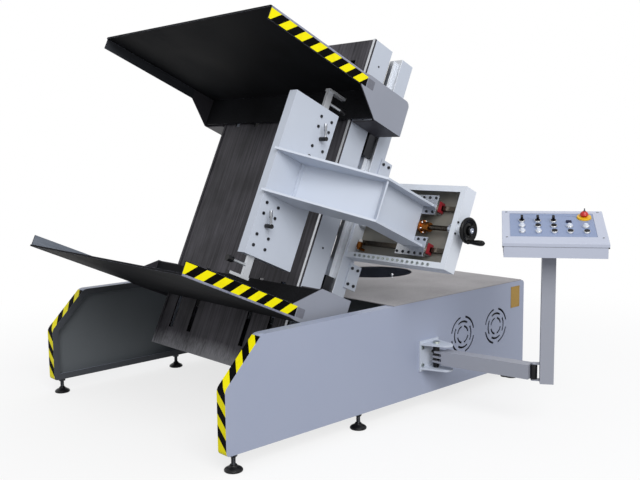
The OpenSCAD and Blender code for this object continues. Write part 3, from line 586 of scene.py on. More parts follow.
def turned(profile: Sequence[tuple[float, float]], steps: int = 32) -> Shape:
    """A turned part about the z axis.

    Args:
        profile: (radius, height) points from one end of the axis to the other.
        steps: facets round the part.

    Returns:
        A shape that spins the profile into a closed part.
    """
    def draw(bm: BMesh) -> None:
        """Spins the profile and closes its poles."""
        verts = [bm.verts.new((radius, 0, height)) for radius, height in profile]
        edges = [bm.edges.new(pair) for pair in zip(verts, verts[1:])]
        bmesh.ops.spin(bm, geom=verts + edges, cent=(0, 0, 0), axis=(0, 0, 1), dvec=(0, 0, 0),
                       angle=2 * math.pi, steps=steps, use_merge=True)
        bmesh.ops.remove_doubles(bm, verts=bm.verts[:], dist=0.001)
        bmesh.ops.recalc_face_normals(bm, faces=bm.faces[:])
    return draw


def threaded(diameter: float, lead: float, turns: int, steps: int = 18) -> Shape:
    """A rolled thread about the z axis, from z 0 up.

    Args:
        diameter: outer diameter.
        lead: rise of one turn.
        turns: number of turns.
        steps: facets in a turn.

    Returns:
        The thread as an open spun surface.
    """
    outer = diameter / 2 - 0.1
    root = outer - 0.2 * lead

    def draw(bm: BMesh) -> None:
        """Spins one groove and crest up the helix."""
        profile = [(root, 0.0), (root, 0.3), (outer, 0.42), (outer, 0.88), (root, 1.0)]
        verts = [bm.verts.new((radius, 0, part * lead)) for radius, part in profile]
        edges = [bm.edges.new(pair) for pair in zip(verts, verts[1:])]
        bmesh.ops.spin(bm, geom=verts + edges, cent=(0, 0, 0), axis=(0, 0, 1), dvec=(0, 0, lead / steps),
                       angle=2 * math.pi * (turns - 1), steps=steps * (turns - 1), use_merge=False)
        bmesh.ops.remove_doubles(bm, verts=bm.verts[:], dist=0.01)
        bmesh.ops.recalc_face_normals(bm, faces=bm.faces[:])
    return draw


def cap_screw(head: float, height: float) -> Shape:
    """A socket screw's head standing on z 0, with its recess.

    Args:
        head: diameter of the head.
        height: height of the head.

    Returns:
        The head as a turned shape.
    """
    rim, socket = head / 2, head * 0.28
    edge, floor = height * 0.15, height * 0.45
    return turned([(0, 0), (rim, 0), (rim, height - edge), (rim - edge, height), (socket, height),
                   (socket, floor), (0, floor)], steps=20)


def finned(core: float, fin: float, pitch: float, count: int, length: float, steps: int) -> Shape:
    """A motor's round body with cooling fins, standing on z 0.

    Args:
        core: radius between the fins.
        fin: radius over the fins.
        pitch: distance from one fin to the next.
        count: number of fins.
        length: length of the body.
        steps: facets round the body.

    Returns:
        The body as a turned shape.
    """
    rise, flat = 1.0, 2.0
    profile = [(0, 0)]
    for number in range(count):
        foot = pitch * number
        low, high = foot + rise, foot + rise + flat
        profile += [(core, foot), (fin, low), (fin, high), (core, high + rise)]
    return turned(profile + [(core, length), (0, length)], steps)


def ring(radius: float, count: int, start_deg: float = 0.0) -> list[tuple[float, float]]:
    """Points spaced evenly round a circle.

    Args:
        radius: the circle's radius.
        count: number of points.
        start_deg: where the first one is.

    Returns:
        The points in the circle's plane.
    """
    angles = [math.radians(start_deg + 360 / count * number) for number in range(count)]
    return [(radius * math.cos(angle), radius * math.sin(angle)) for angle in angles]


def rounded_block(size: tuple[float, float, float], radius: float, segments: int = 2) -> Shape:
    """A block about the origin with rounded edges.

    Args:
        size: its length along x, y and z.
        radius: radius of the edges.
        segments: facets in each edge.

    Returns:
        The block as a shape.
    """
    def draw(bm: BMesh) -> None:
        """Scales a cube and rounds its edges."""
        bmesh.ops.create_cube(bm, size=1.0)
        bmesh.ops.scale(bm, vec=size, verts=bm.verts[:])
        bmesh.ops.bevel(bm, geom=bm.edges[:], offset=radius, offset_type="OFFSET", affect="EDGES",
                        segments=segments, profile=0.5, material=-1)
    return draw


def add_piece(name: str, body: str, bm: BMesh, place: Matrix, finishes: Sequence[Finish],
              smooth_deg: float = 35.0) -> bpy.types.Object:
    """Puts a mesh drawn in millimetres into the scene, on the body that carries it.

    Args:
        name: the piece's name.
        body: the body that it rides on.
        bm: the mesh, which is used up.
        place: the frame that it was drawn in.
        finishes: its finishes, in the order of the faces' material numbers.
        smooth_deg: faces that meet at less than this are shaded as one.

    Returns:
        The new object.
    """
    bm.transform(place)
    mesh = bpy.data.meshes.new(name)
    bm.to_mesh(mesh)
    bm.free()
    for finish in finishes:
        mesh.materials.append(finish.material())
    mesh.shade_smooth()
    mesh.set_sharp_from_angle(angle=math.radians(smooth_deg))
    piece = bpy.data.objects.new(name, mesh)
    bpy.context.scene.collection.objects.link(piece)
    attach(piece, body)
    LOG.info("%s: %d faces on %s", name, len(mesh.polygons), body)
    return piece


def curved_faces(mesh: bpy.types.Mesh) -> set[int]:
    """Finds the faces of a solid that belong to a curve, so that flat walls stay flat in the light.

    Args:
        mesh: the solid's mesh, which is read from a merged copy.

    Returns:
        The numbers of the faces whose facet bends on into a facet of its own kind.
    """
    copy = bmesh.new()
    copy.from_mesh(mesh)
    number = copy.faces.layers.int.new("number")
    for face in copy.faces:
        face[number] = face.index
    bmesh.ops.remove_doubles(copy, verts=copy.verts[:], dist=WELD_MM * MM)
    copy.normal_update()
    facet_of: dict[bmesh.types.BMFace, int] = {}
    areas: list[float] = []
    for start in copy.faces:
        if start in facet_of:
            continue
        waiting, area = [start], 0.0
        facet_of[start] = len(areas)
        while waiting:
            face = waiting.pop()
            area += face.calc_area()
            for edge in face.edges:
                if not edge.is_manifold or edge.calc_face_angle(math.pi) > FLAT_RAD:
                    continue
                for beside in edge.link_faces:
                    if beside not in facet_of:
                        facet_of[beside] = len(areas)
                        waiting.append(beside)
        areas.append(area)
    widest = [0.0] * len(areas)
    for edge in copy.edges:
        if edge.is_manifold and FLAT_RAD < edge.calc_face_angle(math.pi) < SHARP_RAD:
            one, other = [facet_of[face] for face in edge.link_faces]
            widest[one] = max(widest[one], areas[other])
            widest[other] = max(widest[other], areas[one])
    most = 4.0
    curved = {face[number] for face, facet in facet_of.items() if areas[facet] < most * widest[facet]}
    copy.free()
    return curved


def dress_node(node: bpy.types.Object, finishes: Sequence[Finish], edge_mm: float = 1.2,
               choose: Chooser | None = None, place: Matrix | None = None, wear_and_highlight: bool = False) -> None:
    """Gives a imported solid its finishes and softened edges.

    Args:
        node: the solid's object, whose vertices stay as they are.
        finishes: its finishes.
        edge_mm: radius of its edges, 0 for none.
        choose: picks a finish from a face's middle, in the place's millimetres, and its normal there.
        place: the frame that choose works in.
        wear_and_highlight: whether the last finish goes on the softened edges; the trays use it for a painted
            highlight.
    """
    node.data.materials.clear()
    for finish in finishes:
        node.data.materials.append(finish.material())
    inverse = place.inverted() if place else Matrix.Identity(4)
    turn = inverse.to_3x3().normalized()
    curved = curved_faces(node.data)
    for polygon in node.data.polygons:
        polygon.use_smooth = polygon.index in curved
        polygon.material_index = choose(inverse @ polygon.center, turn @ polygon.normal) if choose else 0
    weld = node.modifiers.new("weld", "WELD")
    weld.merge_threshold = WELD_MM * MM
    if edge_mm:
        edge = node.modifiers.new("edge", "BEVEL")
        edge.width = edge_mm * MM
        edge.segments = 2
        edge.limit_method = "ANGLE"
        edge.angle_limit = SHARP_RAD
        edge.harden_normals = True
        edge.use_clamp_overlap = True
        edge.material = len(finishes) - 1 if wear_and_highlight else -1
    LOG.info("%s: %s", node.name, ", ".join(finish.name for finish in finishes))


@dataclass(frozen=True)
class HazardTape:
    """A strip of black and yellow tape, striped at 45 degrees."""

    length: float
    width: float
    lean: int
    phase: float = 0.0
    stripe: float = 44.0
    thick: float = 0.5
    step: float = 6.0

    def build(self, lay: Callable[[float, float], Vector], outward: Vector) -> BMesh:
        """Cuts a flat strip into stripes and lays it on its surface.

        Args:
            lay: the point for a distance along and across the strip.
            outward: roughly the way that its printed face looks.

        Returns:
            The strip as a closed thin solid, yellow as material 0 and black as 1.
        """
        bm = bmesh.new()
        rows = max(1, round(self.length / self.step))
        bmesh.ops.create_grid(bm, x_segments=rows, y_segments=1, size=0.5)
        bmesh.ops.scale(bm, vec=(self.length, self.width, 1), verts=bm.verts[:])
        bmesh.ops.translate(bm, vec=(self.length / 2, 0, 0), verts=bm.verts[:])
        for number in range(1, int((self.length + self.width + self.phase) / self.stripe) + 1):
            bmesh.ops.bisect_plane(bm, geom=bm.verts[:] + bm.edges[:] + bm.faces[:], dist=0.001,
                                   plane_co=(number * self.stripe - self.phase, 0, 0),
                                   plane_no=(1, -self.lean, 0))
        for face in bm.faces:
            middle = face.calc_center_median()
            reached = (middle.x - self.lean * middle.y + self.phase) / self.stripe
            face.material_index = max(0, math.floor(reached)) % 2
        for vert in bm.verts:
            vert.co = lay(vert.co.x, vert.co.y)
        bm.normal_update()
        if sum((face.normal for face in bm.faces), Vector()).dot(outward) < 0:
            bmesh.ops.reverse_faces(bm, faces=bm.faces[:])
        bmesh.ops.solidify(bm, geom=bm.faces[:], thickness=self.thick)
        return bm


# Sub-assemblies


@dataclass(frozen=True)
class Base:
    """The floor frame: two side panels, the cabinet between them, the feet and the blowers."""

    places: Places
    half_width: float = 730.0
    panel_thick: float = 52.0
    low: float = 70.0
    top: float = 504.0
    nose_z: float = 322.0
    nose_run: float = 176.0
    toe_radius: float = 16.0
    bend_radius: float = 40.0
    foot_ys: tuple[float, ...] = (50.0, 715.0, 1844.0)
    plate_at: tuple[float, float] = (1832.0, 426.0)
    plate_size: tuple[float, float] = (75.0, 108.0)
    pin_at: tuple[float, float] = (215.0, 1470.0)
    pin_ball: float = 6.5
    pin_height: float = 17.0
    tape_length: float = 492.0
    tape_toe: float = 14.0
    length: float = 1910.0
    louvres: int = 8
    louvre_half: float = 124.0
    louvre_lip: float = 12.0
    louvre_from: float = 200.0
    louvre_pitch: float = 24.0
    wall_screw_inset: float = 14.0
    wall_screw_zs: tuple[float, ...] = (90.0, 220.0, 350.0, 480.0)
    bearing_inset: float = 44.0
    bearing_bolt: float = 54.0
    motor_at: tuple[float, float, float] = (-320.0, 1012.0, 146.0)

    def dress(self) -> None:
        """Gives the base's solids their finishes."""
        nodes, base = self.places.nodes, self.places.base
        lip_depth = 5
        lip = self.half_width - self.panel_thick + lip_depth

        def panel_face(point: Vector, normal: Vector) -> int:
            """The recess and the lips round it face inwards and take painted shade, darker than the outside.
            """
            if normal.x * point.x > -FACING * abs(point.x):
                return 0
            return 2 if abs(point.x) < lip else 1

        for name in ("side_panel_near", "side_panel_far"):
            dress_node(nodes[name], [PANEL_GREY, RECESS_SHADE_GREY, LIP_SHADE_GREY], 1.6, panel_face, base)
        dress_node(nodes["top_cover"], [COVER_GRIT], 1.0)
        dress_node(nodes["rear_wall"], [PANEL_GREY])
        # The cabinet's bulkhead and cross members take the recess's painted shade
        for name in ("cabinet_bulkhead", "cross_members"):
            dress_node(nodes[name], [RECESS_SHADE_GREY])
        for name in ("tilt_bearings", "tilt_gearmotor"):
            dress_node(nodes[name], [CASTING_GREY], 4.0)
        dress_node(nodes["blower_ducts"], [CASTING_GREY], 0.8)
        for name in ("front_fan", "rear_fan"):
            dress_node(nodes[name], [BLACK_PLASTIC], 0.8)
        dress_node(nodes["cable_gland"], [BLACK_PLASTIC], 1.5)

    def rim_point(self, along: float) -> tuple[Vector, Vector]:
        """A point on the nose's rim and the way out of it, for a distance up from the toe.

        Args:
            along: distance from the toe in millimetres.

        Returns:
            The point and the outward direction, as (y, z) in the panel's plane.
        """
        slope = math.atan2(self.top - self.nose_z, self.nose_run)
        bend = self.bend_radius * math.tan((math.pi / 2 - slope) / 2)
        upright = self.nose_z - bend - self.low - self.toe_radius
        arc = self.bend_radius * (math.pi / 2 - slope)
        start = Vector((0, self.low + self.toe_radius))
        if along < 0:
            turn = math.pi - along / self.toe_radius
            out = Vector((math.cos(turn), math.sin(turn)))
            return start + Vector((self.toe_radius, 0)) + out * self.toe_radius, out
        if along < upright:
            return start + Vector((0, along)), Vector((-1, 0))
        middle = start + Vector((self.bend_radius, upright))
        turn = math.pi - min(along - upright, arc) / self.bend_radius
        out = Vector((math.cos(turn), math.sin(turn)))
        past = max(0.0, along - upright - arc)
        return middle + out * self.bend_radius + Vector((out.y, -out.x)) * past, out

    def build_tapes(self) -> None:
        """Lays the tape round the nose of both panels, over the whole rim."""
        rim = self.panel_thick - 1.0
        for side in Side:
            middle = side.value * (self.half_width - self.panel_thick / 2)

            def lay(along: float, across: float) -> Vector:
                """Wraps the strip round the rim, just clear of the paint."""
                point, out = self.rim_point(along - self.tape_toe)
                point = point + out * STUCK_MM
                return Vector((middle + across, point.x, point.y))

            tape = HazardTape(self.tape_length, rim, lean=-1).build(lay, Vector((0, -1, 0.5)))
            add_piece(f"nose_tape_{side.name.lower()}", "base", tape, self.places.base,
                      [TAPE_YELLOW, TAPE_BLACK])

    def build_feet(self) -> None:
        """Turns the levelling feet: a domed pad, a ball neck, a threaded spindle and its lock nut."""
        pad = turned([(0, 0), (34, 0), (36, 2), (36, 7), (33, 11), (25, 16), (17, 20), (14, 25), (0, 25)], 40)
        ridges = [(9 - 0.8 * (number % 2), 26 + 2 * number) for number in range(3, 17)]
        spindle = turned([(0, 24), (11, 24), (12, 27), (9, 30)] + ridges + [(9, 69.6), (0, 69.6)], 24)
        nut = turned([(0, 56), (15, 56), (16, 57.5), (16, 66.5), (15, 68), (0, 68)], 6)
        spots = [at(side.value * (self.half_width - self.panel_thick / 2), y, 0)
                 for side in Side for y in self.foot_ys]
        feet = stamped((pad, 0, spots), (spindle, 1, spots), (nut, 1, spots))
        piece = add_piece("domed_feet", "base", feet, self.places.base, [BLACK_PLASTIC, DARK_SCREW])
        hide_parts("levelling_feet")

    def build_plate(self) -> None:
        """Makes the bare brass plate on the near panel, with a raised border and four rivets."""
        width, height = self.plate_size
        thick, inset = 1.6, 8

        def draw_plate(bm: BMesh) -> None:
            """Sinks the face of a thin block inside its border."""
            rounded_block((thick, width, height), 0.5)(bm)
            face = max(bm.faces, key=lambda face: face.calc_center_median().x)
            bmesh.ops.inset_region(bm, faces=[face], thickness=3.0, depth=0.0)
            bmesh.ops.inset_region(bm, faces=[face], thickness=0.8, depth=-0.5)

        rivet = turned([(0, 0), (2.6, 0), (2.4, 0.9), (1.4, 1.6), (0, 1.8)], 16)
        corners = [at(0.3, y * (width / 2 - inset), z * (height / 2 - inset), ALONG_X)
                   for y in (-1, 1) for z in (-1, 1)]
        plate = stamped((draw_plate, 0, [Matrix.Identity(4)]), (rivet, 0, corners))
        spot = at(self.half_width + thick / 2, *self.plate_at)
        add_piece("brass_plate", "base", plate, self.places.base @ spot, [BRASS])

    def build_rear(self) -> None:
        """Adds the hoods over the rear louvres, the wall's screws and the bearings' bolts."""
        def draw_hood(bm: BMesh) -> None:
            """Spins the louvre's lip a quarter turn out of the wall and gives it its thickness."""
            ends = [bm.verts.new((x, 0, self.louvre_lip)) for x in (-self.louvre_half, self.louvre_half)]
            lip = bm.edges.new(ends)
            bmesh.ops.spin(bm, geom=ends + [lip], cent=(0, 0, 0), axis=(1, 0, 0), dvec=(0, 0, 0),
                           angle=-math.pi / 2, steps=6, use_merge=False)
            bmesh.ops.recalc_face_normals(bm, faces=bm.faces[:])
            bmesh.ops.solidify(bm, geom=bm.faces[:], thickness=1.2)

        spots = [at(0, self.length, self.louvre_from + self.louvre_pitch * number)
                 for number in range(self.louvres)]
        hoods = stamped((draw_hood, 0, spots))
        add_piece("louvre_hoods", "base", hoods, self.places.base, [PANEL_GREY])
        edge_x = self.half_width - self.panel_thick - self.wall_screw_inset
        spots = [at(x, self.length, z, ALONG_Y) for x in (-edge_x, edge_x) for z in self.wall_screw_zs]
        axle = self.places.axis_point("tilt", self.places.base)
        inner = self.half_width - self.bearing_inset
        offsets = (-self.bearing_bolt, self.bearing_bolt)
        bolts = [at(side.value * inner, axle.y + y, axle.z + z, side.inward)
                 for side in Side for y in offsets for z in offsets]
        screws = stamped((cap_screw(10, 3.5), 0, spots), (cap_screw(18, 10), 0, bolts))
        add_piece("base_screws", "base", screws, self.places.base, [DARK_SCREW])

    def build_motor_fins(self) -> None:
        """Turns the cooling fins of the tilt motor."""
        body = finned(54, 58, pitch=12, count=11, length=128, steps=40)
        fins = stamped((body, 0, [at(*self.motor_at)]))
        add_piece("tilt_motor_fins", "base", fins, self.places.base, [CASTING_GREY])

    def build_pin(self) -> None:
        """Turns the ball-headed pin that stands at the near edge of the cover's opening."""
        height = self.places.extent("top_cover", self.places.base)[1].z
        angles = [math.radians(30 + 15 * number) for number in range(11)]
        ball = [(self.pin_ball * math.sin(a), self.pin_height - self.pin_ball * math.cos(a)) for a in angles]
        profile = [(0, 0), (6, 0), (6, 2.5), (3, 3.5)] + ball
        pin = stamped((turned(profile, 24), 0, [at(*self.pin_at, height)]))
        add_piece("cover_pin", "base", pin, self.places.base, [CHROME], smooth_deg=40.0)

    def build(self) -> None:
        """Builds and dresses the base."""
        self.dress()
        self.build_tapes()
        self.build_feet()
        self.build_plate()
        self.build_pin()
        self.build_rear()
        self.build_motor_fins()


@dataclass(frozen=True)
class TiltDrive:
    """The tilting beam with the slewing bearing and its motor."""

    places: Places
    slew_y: float = 350.0
    slew_length: float = 80.0
    bolt_ring: float = 126.0
    motor_x: float = -322.0
    motor_z: float = 190.0

    def build(self) -> None:
        """Dresses the drive and adds the bearing's bolts and the motor's fins."""
        nodes, mast = self.places.nodes, self.places.mast
        dress_node(nodes["tilt_shaft"], [MACHINED], 2.0)
        dress_node(nodes["tilt_beam"], [PANEL_GREY], 3.0)
        for name in ("slew_housing", "slew_motor"):
            dress_node(nodes[name], [CASTING_GREY], 4.0)
        rear = self.slew_y + self.slew_length
        spots = [at(x, rear, z, ALONG_Y) for x, z in ring(self.bolt_ring, 12, 15)]
        bolts = stamped((cap_screw(18, 10), 0, spots))
        add_piece("slew_bolts", "tilt_frame", bolts, mast, [DARK_SCREW])
        body = finned(35, 39, pitch=14, count=14, length=200, steps=36)
        spot = at(self.motor_x, self.slew_y + self.slew_length / 2, self.motor_z, ALONG_X)
        fins = stamped((body, 0, [spot]))
        add_piece("slew_motor_fins", "tilt_frame", fins, mast, [CASTING_GREY])


@dataclass(frozen=True)
class Mast:
    """The leaning mast: front plate, folded sides, bright strips, rails, columns and cross beams."""

    places: Places
    half_width: float = 470.0
    end_z: float = 797.0
    side_depth: float = 122.0
    column_y: float = 198.0
    screw_y: float = 64.0
    screw_zs: tuple[float, ...] = (-690.0, -430.0, -190.0, 190.0, 430.0, 690.0)
    hub_ring: float = 88.0
    hub_y: float = 444.0
    strip_x: float = 388.0
    slot_margin: float = 30.0
    box_bolts_from: float = 490.0
    clamp_diameter: float = 40.0
    clamp_end: float = 14.0
    lead: float = 10.0

    def dress(self) -> None:
        """Gives the mast's solids their finishes."""
        nodes, mast = self.places.nodes, self.places.mast

        def front_dark(point: Vector, normal: Vector) -> int:
            """Faces that look forwards take the second finish: on the sides it is the dark plate, as painted
            shade into the gaps and under the strips.
            """
            return int(normal.y < -FACING)

        def rail_face(point: Vector, normal: Vector) -> int:
            """Rails are oiled in the box and ground in the gaps; the corner strips' outward sides and the
            whole far strip take the dark plate as painted shade.
            """
            if point.x > self.half_width + 1:
                return 1
            if point.y > self.side_depth:
                return 0
            return 2 if point.x < 0 or normal.x > FACING else 0

        def slot_wall(point: Vector, normal: Vector) -> int:
            """The walls of the lift slots are black, as painted shade inside the slots."""
            return int(abs(normal.x) > FACING and abs(point.x) < self.half_width - self.slot_margin)

        dress_node(nodes["mast_plate"], [MAST_PLATE_AND_SHADE, SLOT_SHADE_BLACK], 1.0, slot_wall, mast)
        dress_node(nodes["mast_sides"], [PALE_GREY, MAST_PLATE_AND_SHADE], 2.0, front_dark, mast)
        dress_node(nodes["bright_rails"], [GROUND_STEEL, OILED_STEEL, MAST_PLATE_AND_SHADE], 1.0, rail_face, mast)
        dress_node(nodes["rear_columns"], [PALE_GREY, GROUND_STEEL], 3.0, front_dark, mast)
        dress_node(nodes["mast_crossbeams"], [PALE_GREY], 2.0)
        dress_node(nodes["column_brackets"], [PALE_GREY], 1.5)
        dress_node(nodes["mast_bolts"], [DARK_SCREW, ZINC_BOLT], 0.8,
                   lambda point, normal: int(point.x > self.box_bolts_from), mast)
        dress_node(nodes["slew_hub"], [MACHINED], 2.0)

    def build_gap_strips(self) -> None:
        """Makes the black strips that close the gap between the sides and the rear columns, as painted shade
        in the gap.
        """
        thick, shorter = 4, 20
        depth = self.column_y - self.side_depth
        strip = rounded_block((thick, depth, 2 * self.end_z - shorter), 0.8)
        spots = [at(side.value * self.strip_x, self.side_depth + depth / 2, 0) for side in Side]
        strips = stamped((strip, 0, spots))
        add_piece("gap_strips", "mast", strips, self.places.mast, [RUBBER_AND_GAP_SHADE_BLACK])

    def build_screws(self) -> None:
        """Adds the small screws in the mast's sides and the bolts on the slewing hub's flange."""
        spots = [at(side.value * self.half_width, self.screw_y, z, side.outward)
                 for side in Side for z in self.screw_zs]
        bolts = [at(x, self.hub_y, z, ALONG_Y) for x, z in ring(self.hub_ring, 8)]
        screws = stamped((cap_screw(9, 2.0), 0, spots), (cap_screw(15, 8), 0, bolts))
        add_piece("mast_screws", "mast", screws, self.places.mast, [DARK_SCREW])

    def build_clamp_screw(self) -> None:
        """Rolls the clamping screw's thread, right-handed above the middle and left-handed below it."""
        half = self.end_z - 0.5
        turns = int((half - self.clamp_end) / self.lead)
        thread = threaded(self.clamp_diameter, self.lead, turns)
        up = at(0, self.screw_y, 0)
        down = up @ Matrix.Diagonal((1, 1, -1, 1))
        radius = self.clamp_diameter / 2 - 0.2
        start = turns * self.lead - 2
        end = turned([(0, start), (radius, start), (radius, half - 1), (radius - 1, half), (0, half)], 28)
        screw = stamped((thread, 0, [up, down]), (end, 0, [up, at(0, self.screw_y, 0, (180, 0, 0))]))
        bmesh.ops.recalc_face_normals(screw, faces=screw.faces[:])
        piece = add_piece("clamp_screw_thread", "clamp_screw", screw, self.places.mast, [SCREW_STEEL])
        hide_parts("clamp_screw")

    def build(self) -> None:
        """Builds and dresses the mast."""
        self.dress()
        self.build_gap_strips()
        self.build_screws()
        self.build_clamp_screw()


@dataclass(frozen=True)
class Platform:
    """One clamping platform: tray, cheeks and carriage, with tape on both flanges."""

    places: Places
    end: End
    half_width: float = 631.0
    face_z: float = 541.5
    carriage_x: float = 400.0
    tape_from: float = -702.0
    tape_to: float = -123.0
    tape_width: float = 44.0
    tape_inset: float = 30.5
    tape_phase: float = 11.5
    bead_size: tuple[float, float] = (5.0, 9.0)
    patch_to: float = -76.0
    patch_margin: float = 4.0

    @property
    def name(self) -> str:
        """The platform's name in the frame."""
        return self.end.name.lower()

    def dress(self) -> None:
        """Gives the platform's solids their finishes."""
        nodes, mast = self.places.nodes, self.places.mast

        def cheek_face(point: Vector, normal: Vector) -> int:
            """Only the outside of a cheek is pale; the rest takes a dark painted shade."""
            return int(normal.x * point.x < FACING * abs(point.x))

        def flange_face(point: Vector, normal: Vector) -> int:
            """The insides of the side flanges take their own finish: painted shade on the upper tray, a
            painted sheen on the lower.
            """
            return int(normal.x * point.x < -FACING * abs(point.x))

        # Painted shade on the upper flanges, a painted sheen on the lower, and a painted highlight on the
        # trays' edges
        flange = FLANGE_SHADE if self.end is End.UPPER else FLANGE_SHEEN
        dress_node(nodes[f"{self.name}_tray"], [TRAY_COAT_AND_SHADE, flange, EDGE_GREY_AND_HIGHLIGHT], 2.2, flange_face, mast,
                   wear_and_highlight=True)
        dress_node(nodes[f"{self.name}_cheeks"], [CHEEK_GREY, BAY_SHADE_DARK], 1.2, cheek_face, mast)
        dress_node(nodes[f"{self.name}_carriage"], [MACHINED, DARK_SCREW], 1.2,
                   lambda point, normal: int(abs(point.x) > self.carriage_x), mast)

    def build_tapes(self) -> None:
        """Lays the tape along both flanges."""
        middle = self.end.value * (self.face_z - self.tape_inset)
        for side in Side:
            face = side.value * (self.half_width + STUCK_MM)

            def lay(along: float, across: float) -> Vector:
                """Lays the strip flat on the flange, just clear of the paint."""
                return Vector((face, self.tape_from + along, middle + across))

            strip = HazardTape(self.tape_to - self.tape_from, self.tape_width, lean=1, phase=self.tape_phase)
            tape = strip.build(lay, Vector((side.value, 0, 0)))
            name = f"{self.name}_tape_{side.name.lower()}"
            add_piece(name, f"{self.name}_platform", tape, self.places.mast, [TAPE_YELLOW, TAPE_BLACK])

    def build_patches(self) -> None:
        """Sticks a plain grey patch, darker than the cheek, on each cheek, just behind the tape."""
        length = self.patch_to - self.tape_to - self.patch_margin
        width = self.tape_width - self.patch_margin

        def draw_patch(bm: BMesh) -> None:
            """Rounds the corners of a sheet and gives it its thickness."""
            bmesh.ops.create_grid(bm, x_segments=1, y_segments=1, size=0.5)
            bmesh.ops.scale(bm, vec=(width, length, 1), verts=bm.verts[:])
            bmesh.ops.bevel(bm, geom=bm.verts[:], offset=4.0, offset_type="OFFSET", affect="VERTICES",
                            segments=3, profile=0.5, material=-1)
            bmesh.ops.solidify(bm, geom=bm.faces[:], thickness=0.4)

        middle = self.end.value * (self.face_z - self.tape_inset)
        face, along = self.half_width + STUCK_MM, self.patch_to - length / 2
        spots = [at(side.value * face, along, middle, side.outward) for side in Side]
        patches = stamped((draw_patch, 0, spots))
        add_piece(f"{self.name}_patches", f"{self.name}_platform", patches, self.places.mast, [PATCH_GREY])

    def build_beads(self) -> None:
        """Runs a bead along the folded edge of both flanges, beside the tape: the sheet's grey with a painted
        highlight.
        """
        length = self.tape_to - self.tape_from
        deep, tall = self.bead_size
        out, proud = self.half_width + 0.5 - deep / 2, 0.3
        level = self.end.value * (self.face_z + proud - tall / 2)
        spots = [at(side.value * out, self.tape_from + length / 2, level) for side in Side]
        beads = stamped((rounded_block((deep, length, tall), 1.5, 3), 0, spots))
        add_piece(f"{self.name}_beads", f"{self.name}_platform", beads, self.places.mast, [EDGE_GREY_AND_HIGHLIGHT])

    def build(self) -> None:
        """Builds and dresses the platform."""
        self.dress()
        self.build_tapes()
        self.build_patches()
        self.build_beads()


